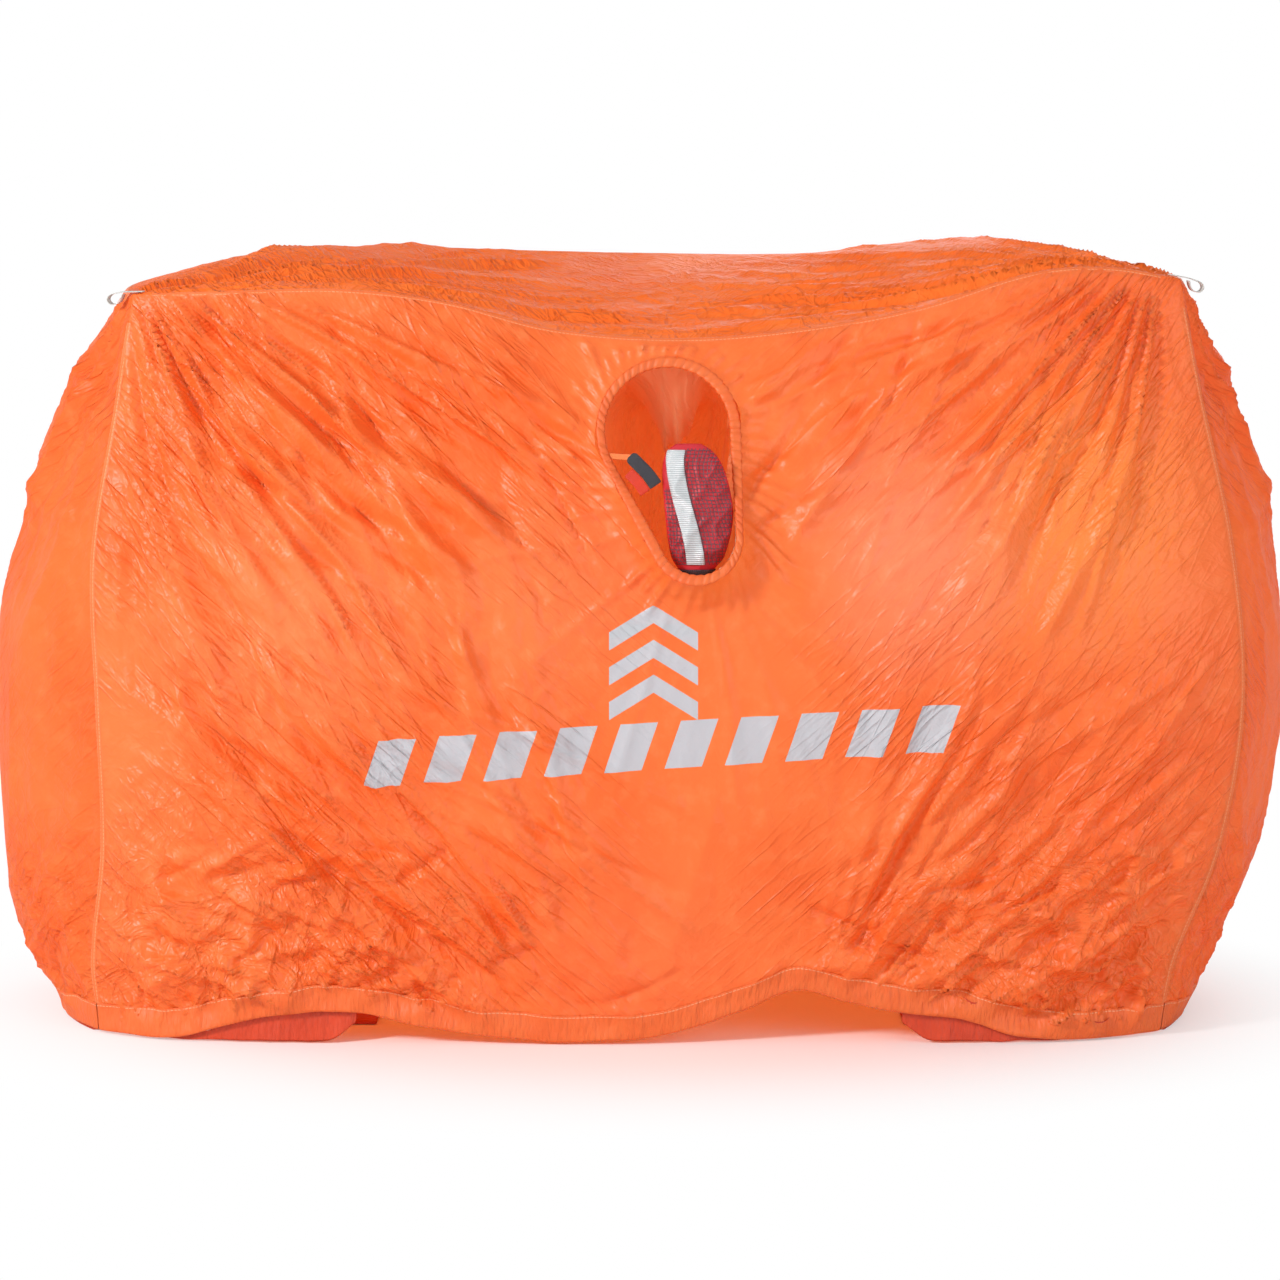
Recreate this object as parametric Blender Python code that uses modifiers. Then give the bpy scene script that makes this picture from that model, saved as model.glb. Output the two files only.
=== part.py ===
# Two-person bothy bag: a fabric group shelter, shown standing in use with nobody in it.
# Metres, +Z up, front wall towards -Y, origin on the ground at the middle of the bag.
# Each piece of cloth is an open surface given its thickness by a Solidify modifier.

import math

import bmesh
import bpy
from mathutils import Matrix, Vector

# Outline of the bag, as (share of the way up, metres).
LEFT_END_X = [
    (0, -0.640), (0.1, -0.684), (0.25, -0.707), (0.45, -0.709), (0.65, -0.681), (0.85, -0.634), (1, -0.556),
]
RIGHT_END_X = [
    (0, 0.602), (0.1, 0.642), (0.25, 0.690), (0.45, 0.709), (0.65, 0.692), (0.85, 0.640), (1, 0.582),
]
LEFT_SEAM_X = [
    (0, -0.578), (0.1, -0.583), (0.25, -0.568), (0.45, -0.570), (0.65, -0.573), (0.85, -0.548), (1, -0.530),
]
RIGHT_SEAM_X = [
    (0, 0.556), (0.1, 0.570), (0.25, 0.612), (0.45, 0.634), (0.65, 0.620), (0.85, 0.586), (1, 0.564),
]
SEAM_DEPTH = [(0, 0.205), (0.3, 0.240), (0.6, 0.245), (1, 0.226)]
FRONT_BULGE = [(0, 0.062), (0.25, 0.052), (0.5, 0.050), (0.75, 0.044), (1, 0.018)]
BACK_BULGE = [(0, 0.072), (0.25, 0.078), (0.5, 0.084), (0.75, 0.070), (1, 0.022)]

# Top and bottom edges, as (share of the way from left to right, metres).
FRONT_ROOF_Z = [
    (0, 0.788), (0.1, 0.791), (0.2, 0.793), (0.3, 0.780), (0.4, 0.752), (0.52, 0.742),
    (0.64, 0.752), (0.75, 0.774), (0.86, 0.811), (0.93, 0.816), (1, 0.804),
]
BACK_ROOF_Z = [
    (0, 0.806), (0.1, 0.832), (0.3, 0.834), (0.5, 0.830),
    (0.66, 0.830), (0.8, 0.844), (0.9, 0.832), (1, 0.806),
]
FRONT_HEM_RISE = [
    (0, 0.0), (0.08, 0.002), (0.15, 0.024), (0.24, 0.032), (0.31, 0.016), (0.38, 0.005), (0.45, 0.0),
    (0.53, 0.007), (0.6, 0.032), (0.655, 0.056), (0.7, 0.044), (0.76, 0.030), (0.81, 0.024),
    (0.86, 0.005), (0.92, 0.0), (1, 0.0),
]
BACK_HEM_RISE = [
    (0, 0.0), (0.16, 0.0), (0.26, 0.012), (0.34, 0.0), (0.40, 0.003), (0.45, 0.013), (0.46, 0.013),
    (0.54, 0.013), (0.55, 0.013), (0.60, 0.003), (0.66, 0.0), (0.75, 0.016), (0.85, 0.0), (1, 0.0),
]

# How tightly the walls turn in towards the corner seams: a higher power is a tighter turn.
WALL_CORNER_POWER = 7.0
END_CORNER_POWER = 2.4

# How soon swells and folds fade towards the edges: a higher power is a narrower margin.
WALL_FADE_POWERS = (8, 10)
ROOF_FADE_POWERS = (6, 4)
FOLD_END_POWER = 0.7

# Heads that lift the roof: x, y, radius, rise.
HEAD_CROWNS = [(-0.40, 0.060, 0.150, 0.012), (0.37, 0.070, 0.160, 0.013)]

# Where the cloth is pressed out, or hangs in where the push is negative: x, z, half sizes, push.
FRONT_SWELLS = [
    (-0.34, 0.42, 0.20, 0.15, 0.016),
    (0.33, 0.45, 0.22, 0.13, 0.020),
    (-0.02, 0.22, 0.22, 0.16, 0.010),
]
BACK_SWELLS = [
    (-0.30, 0.40, 0.22, 0.20, 0.014),
    (0.32, 0.42, 0.22, 0.20, 0.014),
    (0.0, 0.45, 0.14, 0.25, -0.014),
]

# Main folds of the hanging cloth on the front: both ends (x, z), half width, depth inwards.
FRONT_FOLDS = [
    ((-0.475, 0.775), (-0.425, 0.600), 0.022, 0.013),
    ((-0.380, 0.760), (-0.240, 0.520), 0.024, 0.010),
    ((-0.300, 0.770), (-0.085, 0.590), 0.022, -0.011),
    ((-0.290, 0.715), (-0.090, 0.545), 0.024, 0.010),
    ((-0.620, 0.440), (-0.330, 0.330), 0.026, 0.010),
    ((-0.560, 0.300), (-0.110, 0.060), 0.030, -0.011),
    ((-0.480, 0.350), (-0.060, 0.120), 0.028, 0.010),
    ((0.430, 0.790), (0.180, 0.530), 0.022, 0.010),
    ((0.350, 0.770), (0.160, 0.590), 0.022, -0.009),
    ((0.540, 0.330), (0.180, 0.110), 0.030, 0.011),
    ((0.470, 0.160), (0.250, 0.060), 0.026, -0.009),
]

# Facets: the walls share their rows, and facing walls their columns, so that the seams match.
WALL_COLUMNS = 28
END_COLUMNS = 12
WALL_ROWS = 14
VENT_SIDES = 32
MOUTH_ARC_STEPS = 100
SURFACE_STEPS = 12
SMOOTH_ANGLE = math.radians(40)

# Cloth, seams and clearances.
CLOTH_THICKNESS = 0.0016
TRIM_THICKNESS = 0.0010
PIECE_GAP = 0.0003
SEAM_SETBACK = 0.0012
TAPE_HALF_WIDTH = 0.006
TAPE_THICKNESS = 0.0008
TAPE_CLEARANCE = 0.0012
TAPE_CORNER_TRIM = 0.016
TAPE_HEM_TRIM = 0.002
TAPE_TOP_TRIM = 0.030

# Hem: a strip folded round the foot of each wall, with the drawcord in the fold.
HEM_LEAF_HEIGHT = 0.026
HEM_BAND_HEIGHT = 0.030
HEM_CORNER_TRIM = 0.003
LEAF_CLEARANCE = 0.0019
CORD_DIAMETER = 0.0024
CORD_CLEARANCE = 0.0005
CORD_TURN_RADIUS = 0.0038
CORD_TURN_STEPS = 4
SLOT_HEIGHT = 0.0058
SLOT_REACH = 0.010
SLOT_SIDE_ROOM = 0.0027

# Vent mouth: a large circle at the top, drawn together with a small one at the bottom.
VENT_X = 0.029
VENT_Z = 0.605
MOUTH_TOP_OFFSET_Z = 0.043
MOUTH_TOP_RADIUS = 0.074
MOUTH_LOW_OFFSET_X = 0.0295
MOUTH_LOW_OFFSET_Z = -0.064
MOUTH_LOW_RADIUS = 0.048
LIP_STAND_TOP = 0.008
LIP_STAND_LOW = 0.040
COLLAR_INSIDE_DEPTH = 0.007
ELASTIC_DIAMETER = 0.0024
ELASTIC_CLEARANCE = 0.0006
RIM_ROUNDING = 0.0007
VENT_CUT_REACH = 0.030

# Tunnel behind the vent: it goes in through the wall, then hangs down to a casing of its own.
TUNNEL_STRAIGHT = 0.011
TUNNEL_REACH_LOW = 0.035
TUNNEL_REACH_HIGH = 0.200
TUNNEL_END = Vector((0.030, -0.165, 0.430))
TUNNEL_END_RADIUS = 0.050
TUNNEL_END_STRAIGHT = 0.020
TUNNEL_DROP = 0.050
TUNNEL_LEAF_HEIGHT = 0.014
TUNNEL_STEPS = 6
TUNNEL_CASING_SIDES = 28

# Floor seats, hinged on a binding that is sewn under each end hem, and skirts behind the front hem.
SEAT_INNER_X = 0.285
LEFT_SEAT_HINGE_X = 0.556
RIGHT_SEAT_HINGE_X = 0.534
SEAT_HALF_DEPTH = 0.165
SEAT_THICKNESS = 0.0045
SEAT_EDGE_ROUNDING = 0.0012
SEAT_BINDING_THICKNESS = 0.0016
SKIRT_HEIGHT = 0.022
SKIRT_CLEARANCE = 0.0009
LEFT_SKIRT_COLUMNS = (1, 7)
RIGHT_SKIRT_COLUMNS = (21, 27)

# Stuff sack in the vent mouth, closed end up, as (share of the way down, metres). Its centre line and
# its top are measured from the middle of the vent.
SACK_TOP_OFFSET_Z = 0.031
SACK_LENGTH = 0.1355
SACK_Y = -0.302
SACK_OFFSET_X = [(0, 0.021), (0.3, 0.028), (0.55, 0.032), (0.8, 0.031), (1, 0.0285)]
SACK_HALF_WIDTH = [
    (0, 0.012), (0.05, 0.022), (0.15, 0.030), (0.35, 0.0345),
    (0.6, 0.0345), (0.85, 0.028), (0.93, 0.0215), (1, 0.013),
]
SACK_HALF_THICK = [
    (0, 0.004), (0.05, 0.009), (0.2, 0.014), (0.5, 0.017), (0.8, 0.014), (0.93, 0.011), (1, 0.008),
]
SACK_SQUARENESS = 0.85
SACK_SIDES = 20
SACK_ROWS = (1, 0.95, 0.88, 0.74, 0.56, 0.38, 0.2, 0.09, 0.03, 0)
SACK_WALL = 0.0010
SACK_BINDING_HEIGHT = 0.006
SACK_BINDING_CLEARANCE = 0.0009

# Cloth and webbing on the sack's front. Shares across run from -1 at its left edge to 1.
PATCH_THICKNESS = 0.0007
PATCH_CLEARANCE = 0.0006
PATCH_TOP = 0.10
PATCH_FOOT = 0.86
PATCH_ROWS = 8
MESH_COLUMNS = 6
SIDE_MESH_COLUMNS = 3
STRAP_COLUMNS = 4
PATCH_EDGE_SHARE = 0.90
SIDE_MESH_TOP = 0.38
STRAP_CENTRE_SHARE = [(0, -0.60), (0.45, -0.44), (0.85, -0.10), (1, 0.0)]
STRAP_HALF_WIDTH = 0.0088
STRAP_THICKNESS = 0.0012

# Two-tone label of the sack, from its free end down to the sack's left edge, and the tape behind it.
# Their x and z are measured from the middle of the vent.
LABEL_ROUTE = [(-0.0395, 0.0185), (-0.030, 0.009), (-0.0205, -0.001), (-0.0125, -0.012)]
LABEL_HALF_WIDTH = 0.0070
LABEL_BAND_HALF_WIDTH = 0.0060
LABEL_THICKNESS = 0.0010
LABEL_Y = -0.3085
TETHER_OFFSET_Z = 0.017
TETHER_END_OFFSET_X = -0.033
TETHER_HALF_WIDTH = 0.003
TETHER_THICKNESS = 0.0010
TETHER_CLEARANCE = 0.0010
TETHER_SAG = 0.002

# Cord locks: a barrel with a sprung plunger that pinches both strands of a drawcord.
LOCK_BARREL_RADIUS = 0.0070
LOCK_BARREL_HEIGHT = 0.0200
LOCK_BORE_RADIUS = 0.0052
LOCK_FLOOR = 0.0014
LOCK_STANDOFF = 0.0064
LOCK_SLIDE = 0.0070
PLUNGER_CLEARANCE = 0.00035
PLUNGER_TRAVEL = 0.0024
PLUNGER_PROUD = 0.0045
PLUNGER_BRIDGE = 0.0010
SPRING_WIRE = 0.00045
SPRING_COILS = 4
SPRING_STEPS = 8
STRAND_SPACING = 0.0031
EYE_CLEARANCE = 0.0006
STOPPER_RADIUS = 0.0036
STOPPER_LENGTH = 0.0070

# Corner loops: webbing that lies on the roof's corner and turns back under itself beyond the end,
# as (metres out from the corner, metres above the webbing's tab).
LOOP_WIDTH = 0.012
LOOP_INSET = 0.009
LOOP_TAB = 0.014
LOOP_THICKNESS = 0.0011
LOOP_PROFILE = [
    (0.007, 0.0), (0.014, -0.0008), (0.0215, -0.0025), (0.025, -0.0075),
    (0.0215, -0.0124), (0.0145, -0.0118), (0.0105, -0.008), (0.0082, -0.0026),
]

# Finish of each material: name, colour, roughness, metallic.
ORANGE_CLOTH = ("orange_shell_cloth", (1.0, 0.16, 0.045), 0.45, 0.0)
ORANGE_TAPE = ("orange_seam_tape", (0.95, 0.13, 0.035), 0.55, 0.0)
SEAT_CLOTH = ("red_orange_seat_cloth", (0.80, 0.07, 0.02), 0.6, 0.0)
WHITE_CORD = ("white_cord", (0.75, 0.74, 0.72), 0.7, 0.0)
BLACK_ELASTIC = ("black_elastic", (0.02, 0.02, 0.02), 0.7, 0.0)
SACK_RED = ("red_sack_cloth", (0.62, 0.03, 0.02), 0.5, 0.0)
SACK_MESH = ("dark_mesh", (0.08, 0.02, 0.025), 0.7, 0.0)
REFLECTIVE = ("silver_webbing", (0.80, 0.82, 0.83), 0.35, 0.0)
CHARCOAL = ("charcoal_label", (0.05, 0.05, 0.06), 0.6, 0.0)
LABEL_RED = ("red_label_band", (0.95, 0.05, 0.01), 0.5, 0.0)
LOCK_PLASTIC = ("black_acetal", (0.015, 0.015, 0.016), 0.35, 0.0)
SPRING_STEEL = ("spring_steel", (0.55, 0.55, 0.56), 0.3, 1.0)
LOOP_WEBBING = ("white_webbing", (0.85, 0.84, 0.82), 0.7, 0.0)

# How far the leaves, the cord and the fold of a hem lie from the foot of the wall.
LEAF_OFFSET = CLOTH_THICKNESS / 2 + LEAF_CLEARANCE + TRIM_THICKNESS / 2
CORD_DROP = CORD_DIAMETER / 2 + PIECE_GAP - SEAM_SETBACK
FOLD_DROP = CORD_DROP + CORD_DIAMETER / 2 + CORD_CLEARANCE + TRIM_THICKNESS / 2
HEM_LIFT = FOLD_DROP + TRIM_THICKNESS / 2 + PIECE_GAP + SEAT_BINDING_THICKNESS

# Width of the vent rim's curl, from its outer sheet to its inner one.
RIM_CURL = TRIM_THICKNESS + 2 * ELASTIC_CLEARANCE + ELASTIC_DIAMETER

UP = Vector((0, 0, 1))
BACKWARDS = Vector((0, 1, 0))
BAG_MIDDLE = Vector((0, 0, 0.4))


# Scene, materials and basic solids

def clear_scene():
    for thing in list(bpy.data.objects):
        bpy.data.objects.remove(thing, do_unlink=True)


def make_collection(name):
    collection = bpy.data.collections.new(name)
    bpy.context.scene.collection.children.link(collection)
    return collection


def material(finish):
    name, colour, roughness, metallic = finish
    found = bpy.data.materials.get(name)
    if found:
        return found
    made = bpy.data.materials.new(name)
    made.use_nodes = True
    shader = made.node_tree.nodes["Principled BSDF"]
    shader.inputs["Base Color"].default_value = (*colour, 1.0)
    shader.inputs["Roughness"].default_value = roughness
    shader.inputs["Metallic"].default_value = metallic
    return made


def add_solid(name, shape, finish, collection):
    """Makes an object of a bmesh and frees the bmesh."""
    mesh = bpy.data.meshes.new(name)
    shape.to_mesh(mesh)
    shape.free()
    mesh.materials.append(material(finish))
    mesh.shade_smooth()
    mesh.set_sharp_from_angle(angle=SMOOTH_ANGLE)
    made = bpy.data.objects.new(name, mesh)
    collection.objects.link(made)
    return made


def cylinder(name, radius, height, finish, collection, segments=24):
    """A closed cylinder standing on its origin along +Z."""
    shape = bmesh.new()
    lift = Matrix.Translation((0, 0, height / 2))
    bmesh.ops.create_cone(
        shape, cap_ends=True, segments=segments, radius1=radius, radius2=radius, depth=height, matrix=lift
    )
    return add_solid(name, shape, finish, collection)


def box(name, size, finish, collection):
    """A closed box centred on its origin."""
    shape = bmesh.new()
    bmesh.ops.create_cube(shape, size=1.0, matrix=Matrix.Diagonal((*size, 1.0)))
    return add_solid(name, shape, finish, collection)


def tube(name, points, radius, finish, collection, closed=False, resolution=2):
    """A round cord or wire along points."""
    curve = bpy.data.curves.new(name, "CURVE")
    curve.dimensions = "3D"
    curve.bevel_depth = radius
    curve.bevel_resolution = resolution
    curve.use_fill_caps = not closed
    line = curve.splines.new("POLY")
    line.points.add(len(points) - 1)
    for place, point in zip(line.points, points):
        place.co = (*point, 1.0)
    line.use_cyclic_u = closed
    curve.materials.append(material(finish))
    made = bpy.data.objects.new(name, curve)
    collection.objects.link(made)
    return made


def cut(piece, cutter):
    """Cuts the hidden cutter out of the piece."""
    cutter.hide_render = True
    cutter.display_type = "WIRE"
    hole = piece.modifiers.new("cut by " + cutter.name, "BOOLEAN")
    hole.operation = "DIFFERENCE"
    hole.solver = "EXACT"
    hole.object = cutter


def sheet(rows, closed=False, caps=()):
    """A surface through rows of points. A closed one is a tube, and the rows in caps are filled."""
    across = len(rows[0]) + (1 if closed else 0)
    shape = bmesh.new()
    bmesh.ops.create_grid(shape, x_segments=across - 1, y_segments=len(rows) - 1, size=1.0)
    shape.verts.ensure_lookup_table()
    for i, row in enumerate(rows):
        for j in range(across):
            shape.verts[i * across + j].co = row[j % len(row)]
    rims = [[shape.verts[i * across + j] for j in range(across - 1)] for i in caps]
    for rim in rims:
        shape.faces.new(rim)
    bmesh.ops.remove_doubles(shape, verts=shape.verts, dist=1e-6)
    bmesh.ops.recalc_face_normals(shape, faces=shape.faces)
    return shape


def cloth(name, rows, thickness, finish, collection, closed=False, caps=()):
    """A sheet through rows of points, thickened equally to both sides."""
    made = add_solid(name, sheet(rows, closed, caps), finish, collection)
    wall = made.modifiers.new("thickness", "SOLIDIFY")
    wall.thickness = thickness
    wall.offset = 0.0
    wall.use_even_offset = True
    return made


# The bag's outer surface

def value_at(stations, place):
    """A smooth curve through (place, value) stations."""
    last = len(stations) - 1
    k = 0
    while k < last - 1 and place > stations[k + 1][0]:
        k += 1

    def slope(i):
        before, after = stations[max(i - 1, 0)], stations[min(i + 1, last)]
        return (after[1] - before[1]) / (after[0] - before[0])

    (place0, value0), (place1, value1) = stations[k], stations[k + 1]
    width = place1 - place0
    s = (place - place0) / width
    return (
        value0 * (2 * s**3 - 3 * s**2 + 1)
        + slope(k) * width * (s**3 - 2 * s**2 + s)
        + value1 * (3 * s**2 - 2 * s**3)
        + slope(k + 1) * width * (s**3 - s**2)
    )


def swell(x, z, places):
    """How far a wall is pressed out at x, z."""
    push = 0.0
    for centre_x, centre_z, half_x, half_z, depth in places:
        push += depth * math.exp(-(((x - centre_x) / half_x) ** 2) - ((z - centre_z) / half_z) ** 2)
    return push


def fold_depth(x, z):
    """How far the main folds draw the front in at x, z."""
    depth = 0.0
    for (x0, z0), (x1, z1), half_width, deep in FRONT_FOLDS:
        run_x, run_z = x1 - x0, z1 - z0
        length = math.hypot(run_x, run_z)
        along = ((x - x0) * run_x + (z - z0) * run_z) / length**2
        aside = ((x - x0) * run_z - (z - z0) * run_x) / length
        ends = math.sin(math.pi * min(max(along, 0.0), 1.0)) ** FOLD_END_POWER
        depth += deep * ends * math.exp(-((aside / half_width) ** 2))
    return depth


def edge_fade(u, t, powers):
    """One inside a sheet and zero on its edges, so that neighbouring sheets share their seams."""
    return (1 - abs(2 * u - 1) ** powers[0]) * (1 - abs(2 * t - 1) ** powers[1])


def vent_fade(x, z):
    """Zero at the vent's collar and one away from it, so that no fold crosses the collar."""
    reach = MOUTH_TOP_RADIUS + MOUTH_TOP_OFFSET_Z
    off = math.hypot(x - VENT_X, z - VENT_Z)
    return min(max(2 * (off - reach) / reach, 0.0), 1.0)


def long_wall(u, t, hem, top, bulge):
    """Point of a long wall before its swells, with its distance out as a positive y."""
    x_left, x_right = value_at(LEFT_SEAM_X, t), value_at(RIGHT_SEAM_X, t)
    low = HEM_LIFT + value_at(hem, u)
    high = value_at(top, u)
    out = value_at(SEAM_DEPTH, t) + value_at(bulge, t) * (1 - abs(2 * u - 1) ** WALL_CORNER_POWER)
    return Vector((x_left + (x_right - x_left) * u, out, low + (high - low) * t))


def front(u, t):
    """Front wall: u from the left seam to the right, t from the hem to the roof."""
    point = long_wall(u, t, FRONT_HEM_RISE, FRONT_ROOF_Z, FRONT_BULGE)
    shape = swell(point.x, point.z, FRONT_SWELLS) - vent_fade(point.x, point.z) * fold_depth(point.x, point.z)
    point.y = -point.y - edge_fade(u, t, WALL_FADE_POWERS) * shape
    return point


def back(u, t):
    """Back wall: u from the left seam to the right, t from the hem to the roof."""
    point = long_wall(u, t, BACK_HEM_RISE, BACK_ROOF_Z, BACK_BULGE)
    point.y += edge_fade(u, t, WALL_FADE_POWERS) * swell(point.x, point.z, BACK_SWELLS)
    return point


def end_wall(side, v, t):
    """Left (side 0) or right (side 1) end: v from the front seam to the back, t from hem to roof."""
    seam = value_at((LEFT_SEAM_X, RIGHT_SEAM_X)[side], t)
    reach = value_at((LEFT_END_X, RIGHT_END_X)[side], t)
    x = seam + (reach - seam) * (1 - abs(2 * v - 1) ** END_CORNER_POWER)
    low = HEM_LIFT + value_at(FRONT_HEM_RISE, side) * (1 - v) + value_at(BACK_HEM_RISE, side) * v
    high = value_at(FRONT_ROOF_Z, side) * (1 - v) + value_at(BACK_ROOF_Z, side) * v
    return Vector((x, value_at(SEAM_DEPTH, t) * (2 * v - 1), low + (high - low) * t))


def left(v, t):
    return end_wall(0, v, t)


def right(v, t):
    return end_wall(1, v, t)


def roof(u, v):
    """Roof, u from left to right and v from front to back, stretched between the tops of the walls."""
    along = front(u, 1.0) * (1 - v) + back(u, 1.0) * v
    across = left(v, 1.0) * (1 - u) + right(v, 1.0) * u
    front_line = front(0, 1.0) * (1 - u) + front(1, 1.0) * u
    back_line = back(0, 1.0) * (1 - u) + back(1, 1.0) * u
    point = along + across - front_line * (1 - v) - back_line * v
    for centre_x, centre_y, radius, rise in HEAD_CROWNS:
        spread = ((point.x - centre_x) ** 2 + (point.y - centre_y) ** 2) / radius**2
        point.z += edge_fade(u, v, ROOF_FADE_POWERS) * rise * math.exp(-spread)
    return point


def wall_grid(surface, columns, places):
    """Rows of points of a wall, one row for each of the places up it."""
    return [[surface(i / columns, place) for i in range(columns + 1)] for place in places]


def moved(start, towards, distance):
    """The point at this distance from one point towards another."""
    return start + (towards - start).normalized() * distance


def seam_allowance(grid):
    """The grid with its outermost rows and columns moved in from the seams."""
    rows = [list(row) for row in grid]
    for row in rows:
        row[0] = moved(row[0], row[1], SEAM_SETBACK)
        row[-1] = moved(row[-1], row[-2], SEAM_SETBACK)
    for outer, inner in ((0, 1), (-1, -2)):
        rows[outer] = [moved(a, b, SEAM_SETBACK) for a, b in zip(rows[outer], rows[inner])]
    return rows


def front_y(x, z):
    """The front wall's y at x, z, found by closing in on its u and t."""
    u, t = 0.5, 0.5
    for _ in range(SURFACE_STEPS):
        x_left, x_right = value_at(LEFT_SEAM_X, t), value_at(RIGHT_SEAM_X, t)
        u = (x - x_left) / (x_right - x_left)
        low = HEM_LIFT + value_at(FRONT_HEM_RISE, u)
        t = (z - low) / (value_at(FRONT_ROOF_Z, u) - low)
    return front(u, t).y


# Walls, roof and the tapes inside their seams

def make_grids():
    """Points of every wall and the roof, before any seam allowance."""
    band = HEM_BAND_HEIGHT / value_at(FRONT_ROOF_Z, 0)
    up = [0.0] + [band + (1 - band) * k / (WALL_ROWS - 1) for k in range(WALL_ROWS)]
    return {
        "front": wall_grid(front, WALL_COLUMNS, up),
        "back": wall_grid(back, WALL_COLUMNS, up),
        "left_end": wall_grid(left, END_COLUMNS, up),
        "right_end": wall_grid(right, END_COLUMNS, up),
        "roof": wall_grid(roof, WALL_COLUMNS, [k / END_COLUMNS for k in range(END_COLUMNS + 1)]),
    }


def column(grid, k, first=0):
    return [row[k] for row in grid[first:]]


def seam_tape(name, seam, beside_a, beside_b, trims, parts):
    """A folded tape along a seam, with a leaf on each of the two sheets that meet there.

    beside_a and beside_b are the points next to the seam's points on either sheet.
    """
    lines = [list(seam), list(beside_a), list(beside_b)]
    for end, inner, trim in ((0, 1, trims[0]), (-1, -2, trims[1])):
        share = trim / (seam[inner] - seam[end]).length
        for line in lines:
            line[end] = line[end].lerp(line[inner], share)
    lift = CLOTH_THICKNESS / 2 + TAPE_CLEARANCE + TAPE_THICKNESS / 2
    rows = []
    for k, (point, *beside) in enumerate(zip(*lines)):
        run = (lines[0][min(k + 1, len(seam) - 1)] - lines[0][max(k - 1, 0)]).normalized()
        leaves, insides = [], []
        for near in beside:
            leaf = near - point
            leaf = (leaf - run * leaf.dot(run)).normalized()
            inside = leaf.cross(run)
            leaves.append(leaf)
            insides.append(inside if inside.dot(BAG_MIDDLE - point) > 0 else -inside)
        mitre = (insides[0] + insides[1]).normalized()
        first, last = (
            point + leaf * TAPE_HALF_WIDTH + inside * lift for leaf, inside in zip(leaves, insides)
        )
        rows.append([first, point + mitre * (lift / mitre.dot(insides[0])), last])
    cloth(name, rows, TAPE_THICKNESS, ORANGE_TAPE, parts)


def build_seam_tapes(grids, parts):
    corners = (
        ("front_left_seam_tape", "front", 0, 1, "left_end", 1),
        ("front_right_seam_tape", "front", -1, -2, "right_end", 1),
        ("back_left_seam_tape", "back", 0, 1, "left_end", -2),
        ("back_right_seam_tape", "back", -1, -2, "right_end", -2),
    )
    for name, wall, edge, wall_beside, end, end_beside in corners:
        seam_tape(
            name,
            column(grids[wall], edge, 1),
            column(grids[wall], wall_beside, 1),
            column(grids[end], end_beside, 1),
            (TAPE_HEM_TRIM, TAPE_TOP_TRIM),
            parts,
        )
    roof_grid = grids["roof"]
    edges = (
        ("front_roof_seam_tape", "front", roof_grid[0], roof_grid[1]),
        ("back_roof_seam_tape", "back", roof_grid[-1], roof_grid[-2]),
        ("left_roof_seam_tape", "left_end", column(roof_grid, 0), column(roof_grid, 1)),
        ("right_roof_seam_tape", "right_end", column(roof_grid, -1), column(roof_grid, -2)),
    )
    for name, wall, seam, roof_beside in edges:
        seam_tape(name, seam, grids[wall][-2], roof_beside, (TAPE_CORNER_TRIM, TAPE_CORNER_TRIM), parts)


# Hem casings and the drawcord in them

def hem_axes(grid, k):
    """Foot of a wall at a column, with its outward and upward directions.

    The outward direction is longer where the wall turns, so that offsets along it stay even.
    """
    foot, head = grid[0], grid[1]
    up = (head[k] - foot[k]).normalized()
    faces = []
    for a, b in ((k - 1, k), (k, k + 1)):
        if a >= 0 and b < len(foot):
            face = (foot[b] - foot[a]).cross(head[a] - foot[a]).normalized()
            faces.append(face if face.x * foot[k].x + face.y * foot[k].y > 0 else -face)
    mitre = (faces[0] + faces[-1]).normalized()
    return foot[k], mitre / mitre.dot(faces[0]), up


def build_hem(name, grid, parts):
    """The casing along the foot of one wall, with a level fold. Returns it and the cord's points in it."""
    rows = []
    cord = []
    last = len(grid[0]) - 1
    for k in range(last + 1):
        foot, out, up = hem_axes(grid, k)
        cord.append(foot - up * CORD_DROP)
        if k in (0, last):
            foot = moved(foot, grid[0][1 if k == 0 else -2], HEM_CORNER_TRIM)
        inside, outside = foot - out * LEAF_OFFSET, foot + out * LEAF_OFFSET
        level = foot.z - FOLD_DROP
        rows.append(
            [
                inside + up * HEM_LEAF_HEIGHT,
                inside - up * ((inside.z - level) / up.z),
                outside - up * ((outside.z - level) / up.z),
                outside + up * HEM_LEAF_HEIGHT,
            ]
        )
    return cloth(name, rows, TRIM_THICKNESS, ORANGE_CLOTH, parts), cord


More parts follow.
